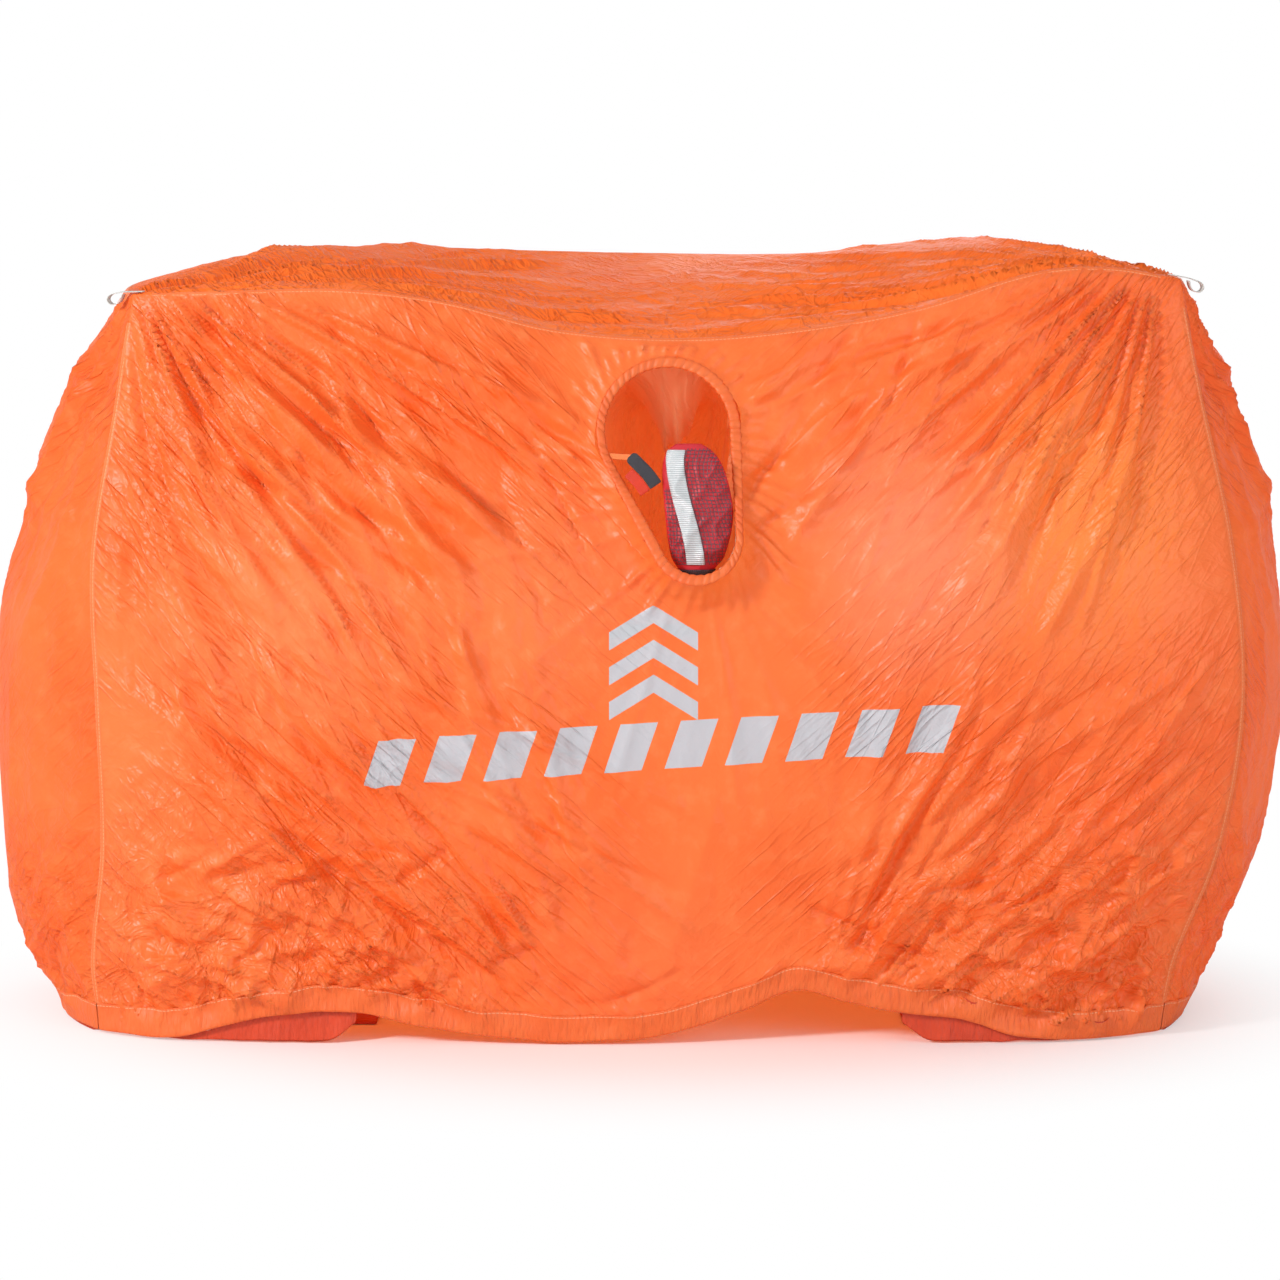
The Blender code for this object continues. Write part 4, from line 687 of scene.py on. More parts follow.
def coatedNylon(name, front=False):
    # polyurethane-coated nylon taffeta: thin, slightly shiny, lets light through and keeps fine creases
    colour, deeper, paler, glow, shine, through = nylon["cloths"][name]
    made, tree = newMaterial(name)
    place, across, up = clothPlace(tree)
    clouds = addNode(tree, "TexNoise", flat, i0=place, Scale=5.0, Detail=3.0, Roughness=0.6)
    mottle = addNode(tree, "TexNoise", flat, i0=place, Scale=46.0, Detail=3.0, Roughness=0.65)
    shade = addNode(tree, "MixRGB", i0=addNode(tree, "MapRange", i0=clouds, i1=0.35, i2=0.7, i4=0.8),
                    i1=hexColour(colour), i2=hexColour(deeper))
    shade = addNode(tree, "MixRGB", i0=addNode(tree, "MapRange", i0=mottle, i1=0.5, i2=0.8, i4=0.4),
                    i1=shade, i2=hexColour(paler))
    if front:
        # painted light: paler patches mixed into the front's colour
        for (x, z), radius, tint, share in nylon["paintedLightPatches"]:
            off = addNode(tree, "VectorMath", {"operation": "DISTANCE"}, i0=place, i1=(x, z, 0))
            off = addNode(tree, "Math", timesPlus, i0=clouds, i1=-0.12, i2=off.outputs["Value"])
            there = addNode(tree, "MapRange", i0=off, i1=radius - 0.06, i2=radius * 0.25 - 0.06, i4=share)
            shade = addNode(tree, "MixRGB", i0=there, i1=shade, i2=hexColour(tint))
    # long fine creases, 10 to 15 mm apart, that run down from the upper corners
    height = 0.0
    cloudy = addNode(tree, "MapRange", i0=clouds, i1=0.30, i2=0.62)
    for angle, (off, full), share in nylon["creaseSets"]:
        turned = addNode(tree, "Mapping", {"vector_type": "TEXTURE"}, i0=place, Rotation=(0, 0, math.radians(angle)),
                         Scale=(*nylon["creaseSpacing"], 1.0))
        lines = addNode(tree, "TexNoise", flat, i0=turned, Scale=1.0, Detail=2.0, Roughness=0.45)
        line = addNode(tree, "Math", unsigned, i0=addNode(tree, "Math", minus, i0=lines, i1=0.5))
        line = addNode(tree, "MapRange", i0=line, i2=0.085, i3=1.0, i4=0.0)
        there = addNode(tree, "MapRange", i0=across, i1=off, i2=full, i4=share)
        there = addNode(tree, "Math", times, i0=there, i1=cloudy)
        height = addNode(tree, "Math", timesPlus, i0=line, i1=there, i2=height)
    # packed-in crumples: a net of short ridges at two sizes, strongest near the hem
    warp = addNode(tree, "TexNoise", flat, i0=place, Scale=11.0, Detail=2.0)
    shifted = addNode(tree, "MixRGB", {"blend_type": "LINEAR_LIGHT"}, i0=0.035, i1=place, i2=warp.outputs["Color"])
    low = addNode(tree, "MapRange", i0=up, i1=0.10, i2=0.34, i3=1.0, i4=0.22)
    if front:  # the low middle is drawn smooth
        aside = addNode(tree, "Math", unsigned, i0=addNode(tree, "Math", minus, i0=across, i1=0.04))
        aside = addNode(tree, "MapRange", i0=aside, i1=0.12, i2=0.36, i3=0.2, i4=1.0)
        low = addNode(tree, "Math", times, i0=low, i1=aside)
    for size, width, share in nylon["nets"]:
        net = addNode(tree, "TexVoronoi", cellEdges, i0=shifted, Scale=1 / size)
        net = addNode(tree, "MapRange", i0=net, i2=width, i3=share, i4=0.0)
        height = addNode(tree, "Math", timesPlus, i0=net, i1=low, i2=height)
    grain = addNode(tree, "TexNoise", flat, i0=place, Scale=240.0, Detail=2.0)
    height = addNode(tree, "Math", timesPlus, i0=grain, i1=0.16, i2=height)
    bump = addNode(tree, "Bump", Strength=0.95, Distance=0.0016, Height=height)
    rough = addNode(tree, "MapRange", i0=mottle, i3=nylon["roughness"][0], i4=nylon["roughness"][1])
    share = glow
    if front:
        ink = reflectivePrint(tree, across, up)
        shade = addNode(tree, "MixRGB", i0=ink, i1=shade, i2=hexColour(nylon["inkColour"]))
        rough = addNode(tree, "MixRGB", i0=ink, i1=rough, i2=(0.5, 0.5, 0.5, 1))
        share = addNode(tree, "Math", timesPlus, i0=ink, i1=-glow * 0.85, i2=glow)  # ink lets little light through
    face = addNode(tree, "BsdfPrincipled", Base_Color=shade, Roughness=rough, Normal=bump, Specular_IOR_Level=shine)
    light = addNode(tree, "BsdfTranslucent", Color=hexColour(through), Normal=bump)
    addNode(tree, "OutputMaterial", Surface=addNode(tree, "MixShader", i0=share, i1=face, i2=light))
    return made


def sewnCloth(name, colours, thread, stitchAt, glow=0.15, crumpled=0.0011):
    # nylon with rows of lock stitches: thread 0.9 mm thick so that it shows, stitches 3 mm long
    made, tree = newMaterial(name)
    place, across, up = clothPlace(tree)
    clouds = addNode(tree, "TexNoise", flat, i0=place, Scale=30.0, Detail=3.0)
    shade = addNode(tree, "MixRGB", i0=clouds, i1=hexColour(colours[0]), i2=hexColour(colours[1]))
    height = addNode(tree, "TexNoise", flat, i0=addNode(tree, "Mapping", i0=place, Scale=(40.0, 150.0, 1.0)),
                     Scale=1.0, Detail=2.0)
    for level in stitchAt:
        near = addNode(tree, "Math", {"operation": "COMPARE"}, i0=across, i1=level, i2=0.00045)
        dash = addNode(tree, "Math", fraction, i0=addNode(tree, "Math", over, i0=up, i1=0.0042))
        stitch = addNode(tree, "Math", times, i0=near, i1=addNode(tree, "Math", below, i0=dash, i1=0.72))
        shade = addNode(tree, "MixRGB", i0=stitch, i1=shade, i2=hexColour(thread))
        # the thread stands 0.3 mm proud of the cloth
        height = addNode(tree, "Math", timesPlus, i0=stitch, i1=0.0003 / crumpled, i2=height)
    bump = addNode(tree, "Bump", Strength=0.9, Distance=crumpled, Height=height)
    face = addNode(tree, "BsdfPrincipled", Base_Color=shade, Roughness=0.5, Normal=bump)
    light = addNode(tree, "BsdfTranslucent", Color=hexColour(colours[0]), Normal=bump)
    addNode(tree, "OutputMaterial", Surface=addNode(tree, "MixShader", i0=glow, i1=face, i2=light))
    return made


def wovenTape(name, colours, ribs=0.0016, rough=0.6, metal=0.0):
    # narrow woven tape or webbing: cross ribs with a fine thread texture; painted shade darkens the troughs between
    # the ribs
    made, tree = newMaterial(name)
    place, across, up = clothPlace(tree)
    wave = addNode(tree, "Math", sine, i0=addNode(tree, "Math", times, i0=up, i1=2 * math.pi / ribs))
    ribHeight = addNode(tree, "MapRange", i0=wave, i1=-1.0, i2=1.0)
    fuzz = addNode(tree, "TexNoise", flat, i0=place, Scale=1400.0, Detail=2.0)
    # painted shade: the trough colour where the ribs dip, the crest colour where they rise
    shade = addNode(tree, "MixRGB", i0=ribHeight, i1=hexColour(colours[1]), i2=hexColour(colours[0]))
    shade = addNode(tree, "MixRGB", {"blend_type": "MULTIPLY"}, i0=0.25, i1=shade, i2=fuzz.outputs["Color"])
    height = addNode(tree, "Math", timesPlus, i0=fuzz, i1=0.4, i2=ribHeight)
    bump = addNode(tree, "Bump", Strength=0.7, Distance=0.0006, Height=height)
    addNode(tree, "OutputMaterial", Surface=addNode(tree, "BsdfPrincipled", Base_Color=shade, Roughness=rough,
                                                    Metallic=metal, Normal=bump))
    return made


def braidedCord(name, colours):
    # braided polyester: strands 2.2 mm apart that cross round the cord; painted shade darkens the grooves between the
    # strands
    made, tree = newMaterial(name)
    place, across, up = clothPlace(tree)
    strands = []
    for way in (1.0, -1.0):
        slope = addNode(tree, "Math", timesPlus, i0=across, i1=way, i2=up)
        turn = addNode(tree, "Math", times, i0=slope, i1=2 * math.pi / 0.0022)
        strands.append(addNode(tree, "Math", sine, i0=turn))
    weave = addNode(tree, "Math", most, i0=strands[0], i1=strands[1])
    level = addNode(tree, "MapRange", i0=weave, i1=-0.6, i2=1.0)
    # painted shade: the groove colour between strands, the crown colour on them
    shade = addNode(tree, "MixRGB", i0=level, i1=hexColour(colours[1]), i2=hexColour(colours[0]))
    bump = addNode(tree, "Bump", Strength=0.8, Distance=0.0005, Height=level)
    addNode(tree, "OutputMaterial", Surface=addNode(tree, "BsdfPrincipled", Base_Color=shade, Roughness=0.65,
                                                    Normal=bump))
    return made


def openKnit(name, yarn):
    # warp-knitted mesh: its holes are 1.5 mm apart, drawn at 4.2 mm so that they show
    made, tree = newMaterial(name)
    place, across, up = clothPlace(tree)
    cells = addNode(tree, "TexVoronoi", cellEdges, i0=place, Scale=1 / 0.0042, Randomness=0.25)
    thread = addNode(tree, "Math", below, i0=cells, i1=0.09)
    bump = addNode(tree, "Bump", Strength=0.9, Distance=0.0006,
                   Height=addNode(tree, "MapRange", i0=cells, i2=0.2, i3=1.0, i4=0.0))
    sheen = addNode(tree, "TexNoise", flat, i0=place, Scale=60.0, Detail=2.0)
    shade = addNode(tree, "MixRGB", i0=sheen, i1=hexColour(yarn[0]), i2=hexColour(yarn[1]))
    face = addNode(tree, "BsdfPrincipled", Base_Color=shade, Roughness=0.55, Normal=bump)
    hole = addNode(tree, "BsdfTransparent")
    addNode(tree, "OutputMaterial", Surface=addNode(tree, "MixShader", i0=thread, i1=hole, i2=face))
    return made


def mouldedAcetal(name, colour, worn):
    # injection-moulded acetal: satin black with a faint spark-eroded grain
    made, tree = newMaterial(name)
    place = addNode(tree, "TexCoord").outputs["Object"]
    grain = addNode(tree, "TexNoise", i0=place, Scale=2600.0, Detail=2.0)
    wear = addNode(tree, "TexNoise", i0=place, Scale=160.0, Detail=3.0)
    shade = addNode(tree, "MixRGB", i0=addNode(tree, "MapRange", i0=wear, i1=0.55, i2=0.8, i4=0.5),
                    i1=hexColour(colour), i2=hexColour(worn))
    rough = addNode(tree, "MapRange", i0=wear, i3=0.30, i4=0.48)
    bump = addNode(tree, "Bump", Strength=0.25, Distance=0.0001, Height=grain)
    addNode(tree, "OutputMaterial", Surface=addNode(tree, "BsdfPrincipled", Base_Color=shade, Roughness=rough,
                                                    IOR=1.48, Normal=bump))
    return made


def drawnSteel(name, colours):
    # drawn spring wire: bright with fine lengthwise drawing marks
    made, tree = newMaterial(name)
    marks = addNode(tree, "TexNoise", i0=addNode(tree, "TexCoord").outputs["Object"], Scale=3000.0, Detail=2.0)
    rough = addNode(tree, "MapRange", i0=marks, i3=0.22, i4=0.40)
    shade = addNode(tree, "MixRGB", i0=marks, i1=hexColour(colours[0]), i2=hexColour(colours[1]))
    addNode(tree, "OutputMaterial", Surface=addNode(tree, "BsdfPrincipled", Base_Color=shade, Roughness=rough,
                                                    Metallic=1.0))
    return made


shellNylon = coatedNylon("coatedNylonTaffeta")
frontNylon = coatedNylon("printedNylonTaffeta", front=True)
roofNylonPaintedDeeper = coatedNylon("roofTaffetaPaintedDeeper")
seamNylon = sewnCloth("felledSeamNylon", ("#F88444", "#EE7434"), "#FFB07A", (0.0022, 0.0062), glow=0.30)
seamBinding = wovenTape("seamBindingTape", ("#F88C4C", "#EC7638"))
hemNylon = sewnCloth("hemNylon", ("#F57C3A", "#E96628"), "#FFB98A", (0.0035,), glow=0.25, crumpled=0.0034)
rimNylon = sewnCloth("gatheredRimNylon", ("#F57C3A", "#E86028"), "#FFB486", (), glow=0.25)
# painted shade: the seats, skirts and seat bindings are orange nylon drawn deep red-orange, for the shade under the
# hem
seatNylonPaintedShade = sewnCloth("seatNylonPaintedShade", ("#D8481E", "#B93414"), "#F08A58", (0.003,), glow=0.10, crumpled=0.003)
cordBraid = braidedCord("whiteCordBraid", ("#E4E2DC", "#A8A59C"))
elasticBraid = braidedCord("elasticBraid", ("#2C2C2E", "#141415"))
sackNylon = sewnCloth("sackNylon", ("#E43440", "#B8202E"), "#5A1018", (), glow=0.2)
knitMesh = openKnit("darkKnitMesh", ("#44373F", "#5E4F58"))
bindingTape = wovenTape("darkBindingTape", ("#4A4048", "#2E282C"), ribs=0.0012)
strapWebbing = wovenTape("reflectiveRibbedWebbing", ("#E2E5E6", "#A4A9AC"), ribs=0.0021, rough=0.35, metal=0.15)
labelTape = wovenTape("charcoalLabelTape", ("#3C3A42", "#2A292F"), ribs=0.0010)
bandTape = wovenTape("redLabelTape", ("#F2401C", "#D42E10"), ribs=0.0010)
loopWebbing = wovenTape("whiteLoopWebbing", ("#F0EEEA", "#C8C4BC"), ribs=0.0014)
blackAcetal = mouldedAcetal("blackMouldedAcetal", "#131315", "#3A3A3D")
springWire = drawnSteel("drawnSpringWire", ("#A9A9AC", "#C9C9CC"))
tunnelNylonPaintedLight = coatedNylon("tunnelNylonPaintedLight")

# Lay the shell out, crease it and part it into its panels.
points, walls, faces, owner, index, rings, flats = makeShell()
wallNames = list(index)
flatOf = [flats[wall](p) for wall, p in zip(walls, points)]
whole = meshObject("wholeShell", points, faces, lambda face, k: flatOf[k])
for polygon, wall in zip(whole.data.polygons, owner):
    polygon.material_index = wallNames.index(wall)
looseness = [1.0] * len(points)  # points on a seam are hardly creased, and those beside the rim only a little
for grid in index.values():
    for r, row in enumerate(grid):
        for c, k in enumerate(row):
            if k is not None:
                off = min(r, len(grid) - 1 - r, c, len(row) - 1 - c) * shell["spacing"]
                looseness[k] = min(looseness[k], smooth(*shell["calmBySeam"], off))
for n, ring in enumerate(rings):
    for k in ring:
        free = smooth(0.0, shell["calmByRim"], 1 - n / shell["ventRings"])
        looseness[k] = min(looseness[k], shell["rimLoose"] + (1 - shell["rimLoose"]) * free)
print("stage: shell laid out,", len(points), "points")

group = whole.vertex_groups.new(name="loose")
for level in range(11):
    group.add([k for k, value in enumerate(looseness) if round(value * 10) == level], level / 10, "REPLACE")
useModifier(whole, "SUBSURF", levels=1, render_levels=1)
whole.select_set(True)
bpy.context.view_layer.objects.active = whole
bpy.ops.object.modifier_apply(modifier=whole.modifiers[0].name)
whole.select_set(False)
mesh = whole.data
flatFine = {}
for polygon in mesh.polygons:
    for k in polygon.loop_indices:
        place = tuple(mesh.uv_layers[0].data[k].uv)
        flatFine[mesh.loops[k].vertex_index] = (wallNames[polygon.material_index], place)
looseIndex = whole.vertex_groups["loose"].index
outwards = [vertex.normal.copy() for vertex in mesh.vertices]
fine = []
for vertex, normal in zip(mesh.vertices, outwards):
    wall, (a, b) = flatFine[vertex.index]
    loose = next((g.weight for g in vertex.groups if g.group == looseIndex), 0.0)
    fine.append(vertex.co + normal * (creaseAt(wall, a, b) * loose))


def placePiece(piece, material, body, nodes):
    # its finish, the body that carries it and the CAD solids that it stands for
    piece.data.materials.append(material)
    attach(piece, body)
    if nodes:
        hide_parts(*nodes)


panels = {  # wall: the CAD node, the cloth
    "front": ("front_panel", frontNylon), "back": ("back_panel", shellNylon), "left": ("left_end_panel", shellNylon),
    "right": ("right_end_panel", shellNylon), "roof": ("roof_panel", roofNylonPaintedDeeper),
}
for number, wall in enumerate(wallNames):
    node, cloth = panels[wall]
    used, panelFaces = {}, []
    for polygon in mesh.polygons:
        if polygon.material_index == number:
            panelFaces.append([used.setdefault(k, len(used)) for k in polygon.vertices])
    flatOf = [flats[wall](mesh.vertices[k].co) for k in used]
    panel = meshObject(wall + "Panel", [fine[k] for k in used], panelFaces, lambda face, k: flatOf[k])
    placePiece(panel, cloth, "shelter", (node,))
bpy.data.objects.remove(whole)
print("stage: panels")


def stripPiece(name, rows, material, body="shelter", nodes=(), slot="shell_fabric", closed=False,
               thickness=0.0, levels=1, caps=()):
    # a band of cloth from rows of points; its flat place runs along the rows (u) and across them (v), in metres
    count = len(rows[0])
    faces = []
    for r in range(len(rows) - 1):
        for c in range(count if closed else count - 1):
            after = (c + 1) % count
            faces.append([r * count + c, r * count + after, (r + 1) * count + after, (r + 1) * count + c])
    faces += [[r * count + c for c in range(count)] for r in caps]
    down = [0.0]
    for a, b in zip(rows, rows[1:]):
        down.append(down[-1] + (b[count // 2] - a[count // 2]).length)
    across = []
    for row in rows:
        line = [0.0]
        for a, b in zip(row, row[1:] + [row[0]]):
            line.append(line[-1] + (b - a).length)
        across.append(line)

    def flatAt(face, k):
        r, c = divmod(k, count)
        wraps = closed and c == 0 and {corner % count for corner in face.vertices} >= {0, count - 1}
        return across[r][count if wraps else c], down[r]

    piece = meshObject(name, [p for row in rows for p in row], faces, flatAt)
    if thickness:
        useModifier(piece, "SOLIDIFY", thickness=thickness, offset=0.0)
    if levels:
        useModifier(piece, "SUBSURF", levels=levels, render_levels=levels)
    placePiece(piece, material, body, nodes)


def ribbon(name, line, sides, material, thickness, **more):
    # a flat tape along a line of points, with a vector to its right-hand edge at each
    rows = [[p - side, p - side * 0.5, p, p + side * 0.5, p + side] for p, side in zip(line, sides)]
    stripPiece(name, rows, material, thickness=thickness, **more)


def tubePiece(name, line, radius, material, node, slot="drawcord", closed=False, sides=10):
    # a round cord along points; its flat place runs round it (u) and along it (v), in metres
    rows = []
    last = len(line) - 1
    for k, p in enumerate(line):
        before = line[k - 1] if k or closed else line[0]
        after = line[(k + 1) % len(line)] if k < last or closed else line[-1]
        run = (after - before).normalized()
        aside = (aside - run * aside.dot(run) if rows else run.orthogonal()).normalized()
        over = run.cross(aside)
        turns = [2 * math.pi * n / sides for n in range(sides)]
        rows.append([p + (aside * math.cos(turn) + over * math.sin(turn)) * radius for turn in turns])
    if closed:
        rows.append(rows[0])
    caps = () if closed else (0, len(rows) - 1)
    stripPiece(name, rows, material, nodes=(node,), slot=slot, closed=True, levels=0, caps=caps)


def smoothLine(points, steps):
    # a finer line through points
    line = []
    for k in range(len(points) - 1):
        a, b, c, d = points[max(k - 1, 0)], points[k], points[k + 1], points[min(k + 2, len(points) - 1)]
        for n in range(steps):
            s = n / steps
            line.append(0.5 * ((2 * b) + (c - a) * s + (2 * a - 5 * b + 4 * c - d) * s**2
                               + (3 * b - a - 3 * c + d) * s**3))
    return line + [points[-1]]


def nodeName(name):
    # frontLeft is front_left in the CAD
    return "".join("_" + letter.lower() if letter.isupper() else letter for letter in name)


# Seams: a felled ridge outside and a folded tape inside.
seamSize = {"ridgeHalf": 0.0042, "ridgeHeight": 0.0006, "lift": 0.0002, "tapeHalf": 0.0065, "tapeInside": 0.0016,
            "tapeThick": 0.0005, "wallEnds": 4, "roofEnds": 3}  # ends: points at each end that stay bare


def edgeLine(wall, c):
    return [row[c] for row in index[wall]]


seamRuns = {  # name: the points along the seam, and the next ones on its two sides
    "frontLeft": (edgeLine("front", 0), edgeLine("front", 1), edgeLine("left", 1)),
    "frontRight": (edgeLine("front", -1), edgeLine("front", -2), edgeLine("right", 1)),
    "backLeft": (edgeLine("back", 0), edgeLine("back", 1), edgeLine("left", -2)),
    "backRight": (edgeLine("back", -1), edgeLine("back", -2), edgeLine("right", -2)),
    "frontRoof": (index["front"][-1], index["front"][-2], index["roof"][1]),
    "backRoof": (index["back"][-1], index["back"][-2], index["roof"][-2]),
    "leftRoof": (index["left"][-1], index["left"][-2], edgeLine("roof", 1)),
    "rightRoof": (index["right"][-1], index["right"][-2], edgeLine("roof", -2)),
}
for name, (line, besideA, besideB) in seamRuns.items():
    bare = seamSize["roofEnds" if "Roof" in name else "wallEnds"]
    half, high, lift, tapeHalf = (seamSize[key] for key in ("ridgeHalf", "ridgeHeight", "lift", "tapeHalf"))
    ridgeRows, tapeRows = [], []
    for k in range(bare, len(line) - bare):
        p, n = fine[line[k]], outwards[line[k]]
        toA, toB = (fine[besideA[k]] - p).normalized(), (fine[besideB[k]] - p).normalized()
        ridgeRows.append([p + toA * half + n * lift, p + toA * half * 0.8 + n * high, p + n * high * 1.2,
                          p + toB * half * 0.4 + n * high, p + toB * half * 0.6 + n * lift])
        inside = -n * seamSize["tapeInside"]
        tapeRows.append([p + toA * tapeHalf + inside, p + inside * 1.3, p + toB * tapeHalf + inside])
    stripPiece(name + "Seam", ridgeRows, seamNylon, slot="seam_tape")
    stripPiece(name + "SeamTape", tapeRows, seamBinding, slot="seam_tape", nodes=(nodeName(name) + "_seam_tape",),
               thickness=seamSize["tapeThick"])
print("stage: seams")

# Hems: the foot of each wall folded round the drawcord.
hemSize = {"leaf": 0.0014, "roll": 0.0026, "drop": 0.0029, "dropPitch": 0.035, "ripple": 0.0042, "ripplePitch": 0.030,
           "tuck": 0.0002, "thick": 0.0004}

hemNodes = {"front": "front_hem", "back": "back_hem", "left": "left_end_hem", "right": "right_end_hem"}
for wall, node in hemNodes.items():
    columns, band = len(index[wall][0]), shell["hemRows"]
    leaf, roll = hemSize["leaf"], hemSize["roll"]
    rows = []
    for c in range(columns):
        places = [fine[index[wall][r][c]] for r in range(band, -1, -1)]  # from the top of the hem to its foot
        foot = places[-1]
        up = (places[-2] - foot).normalized()
        n = outwards[index[wall][1][c]]
        n = (n - up * n.dot(up)).normalized()
        travel = c * shell["spacing"]
        wave = hemSize["ripple"] * noise.noise((travel / hemSize["ripplePitch"], 0.3, 5.0 + columns))
        drop = hemSize["drop"] * (0.8 + 0.5 * noise.noise((travel / hemSize["dropPitch"], 7.3, 2.0 + columns)))
        off = [leaf + (roll - leaf) * (k / band) ** 2 for k in range(band + 1)]
        outer = [p + n * (off[k] + abs(wave) * (k / band)) for k, p in enumerate(places)]
        inner = [p - n * off[k] for k, p in enumerate(places)]
        side = n * roll * 0.75
        fold = [foot + side - up * drop * 0.7, foot - up * drop, foot - side - up * drop * 0.7]
        rows.append([places[0] + n * hemSize["tuck"]] + outer + fold + inner[::-1])
    stripPiece(wall + "Hem", rows, hemNylon, nodes=(node,), thickness=hemSize["thick"])
print("stage: hems")

# Draught skirts behind the front hem.
skirt = {"left": (-.537, -.294), "right": (.273, .516), "height": .024, "behind": .0058, "thick": .0006,
         "wave": .0012, "wavePitch": .02, "curl": .0016, "curlPitch": .03, "ends": .035, "clear": .0006}

for side in ("left", "right"):
    xLow, xHigh = skirt[side]
    rows = []
    for k, above in zip(index["front"][0], index["front"][1]):
        foot = fine[k]
        if xLow <= foot.x <= xHigh:
            wave = skirt["wave"] * noise.noise((foot.x / skirt["wavePitch"], 1.3, 9.0))
            low = foot + Vector((0, skirt["behind"] + wave, 0))
            top = low + (fine[above] - foot).normalized() * skirt["height"]
            ends = smooth(0, skirt["ends"], min(foot.x - xLow, xHigh - foot.x))
            curl = skirt["curl"] * (noise.noise((foot.x / skirt["curlPitch"], 2.3, 1.0)) + 0.5)
            lift = skirt["clear"] + max(0, (1 - ends) * 0.6 * foot.z + curl)
            floorLine = Vector((foot.x + 2 * wave, foot.y + skirt["behind"] - 3.5 * wave, lift))
            rows.append([top, (top + low) / 2, low, (low + floorLine) / 2, floorLine])
    stripPiece(side + "Skirt", rows, seatNylonPaintedShade, nodes=(side + "_draught_skirt",), slot="seat_fabric",
               thickness=skirt["thick"])

# Drawcords: each runs round and out through its lock with both tails.
cord = {"radius": .0012, "standoff": .0064, "lockRadius": .0070, "slide": .0070, "strands": .0031, "turn": .0038,
        "steps": 56, "endSteps": 24, "below": (.0002, .0003)}


def cordWithTails(name, ring, node):
    # ring starts where the cord comes out of its fold
    exitAt = ring[0]
    aside = Vector((1 if ring[1].x > exitAt.x else -1, 0, 0))
    tail = cord["standoff"] + 2 * cord["lockRadius"] + cord["slide"]
    reach = cord["strands"] / 2 + cord["turn"]

    def strand(side):
        line = [exitAt + Vector((0, tail * (1 - k / 4), 0)) + aside * (side * cord["strands"] / 2) for k in range(4)]
        for k in range(5):
            angle = math.pi / 2 * k / 5
            line.append(exitAt + aside * (side * (reach - cord["turn"] * math.cos(angle)))
                        + Vector((0, cord["turn"] * (1 - math.sin(angle)), 0)))
        return line

    middle = [p for p in ring if (p - exitAt).length > reach]
    tubePiece(name, strand(1) + middle + strand(-1)[::-1], cord["radius"], cordBraid, node)


steps, ends = cord["steps"], cord["endSteps"]
backBelow, otherBelow = (Vector((0, 0, low)) for low in cord["below"])
backFeet = [backPoint(k / steps, 0) - backBelow for k in range(steps + 1)]
frontFeet = [frontPoint(k / steps, 0) - otherBelow for k in range(steps + 1)]
leftFeet, rightFeet = ([endPoint(side, k / ends, 0) - otherBelow for k in range(ends + 1)] for side in (0, 1))
cordWithTails("hemDrawcord", backFeet[steps // 2:0:-1] + leftFeet[:0:-1] + frontFeet[:-1] + rightFeet[:-1]
              + backFeet[:steps // 2:-1], "hem_drawcord")
print("stage: skirts and hem cord")

# Vent: the gathered rim, its elastic and the tunnel that hangs behind it.
rim = {"count": 480, "section": 14, "halfWidth": .0064, "halfDepth": .0032, "inset": .0042,
       "gatherPitch": .0096, "gather": .78, "driftPitch": .021, "depthPitch": .017, "elastic": .0011}
tunnel = {
    "columns": 220, "steps": 34, "straight": .011, "reachLow": .035, "reachHigh": .200, "pleats": .0100,
    "end": (.030, -.165, .430), "endRadius": .050, "endStraight": .020, "drop": .050,
    # the slack cloth at its top hangs down as one fold just behind the rim
    "foldAngle": 1.62, "foldWidth": .30, "foldPlace": .13, "foldLength": .10, "foldDrop": .088, "foldBack": .018,
    "casing": [(-.0016, .014), (-.0024, .006), (-.0026, 0), (-.0020, -.0032), (0, -.0040), (.0020, -.0032),
               (.0026, 0), (.0024, .006), (.0016, .014)],  # outwards and up from the end's edge
    "casingSteps": 72, "casingPinch": .0007, "casingThick": .0004, "cordSteps": 56, "cordBelow": .0015,
}


def mouthRing(count, grow, share, out=0.0):
    # the mouth's outline on the wall, moved out by a share of the rim's stand
    ring = []
    for m in mouthOutline(count, grow):
        y = frontPoint(*wallShares(m.x, m.y)).y
        ring.append(Vector((m.x, y - share * lipStand(m.y) - out, m.y)))
    return ring


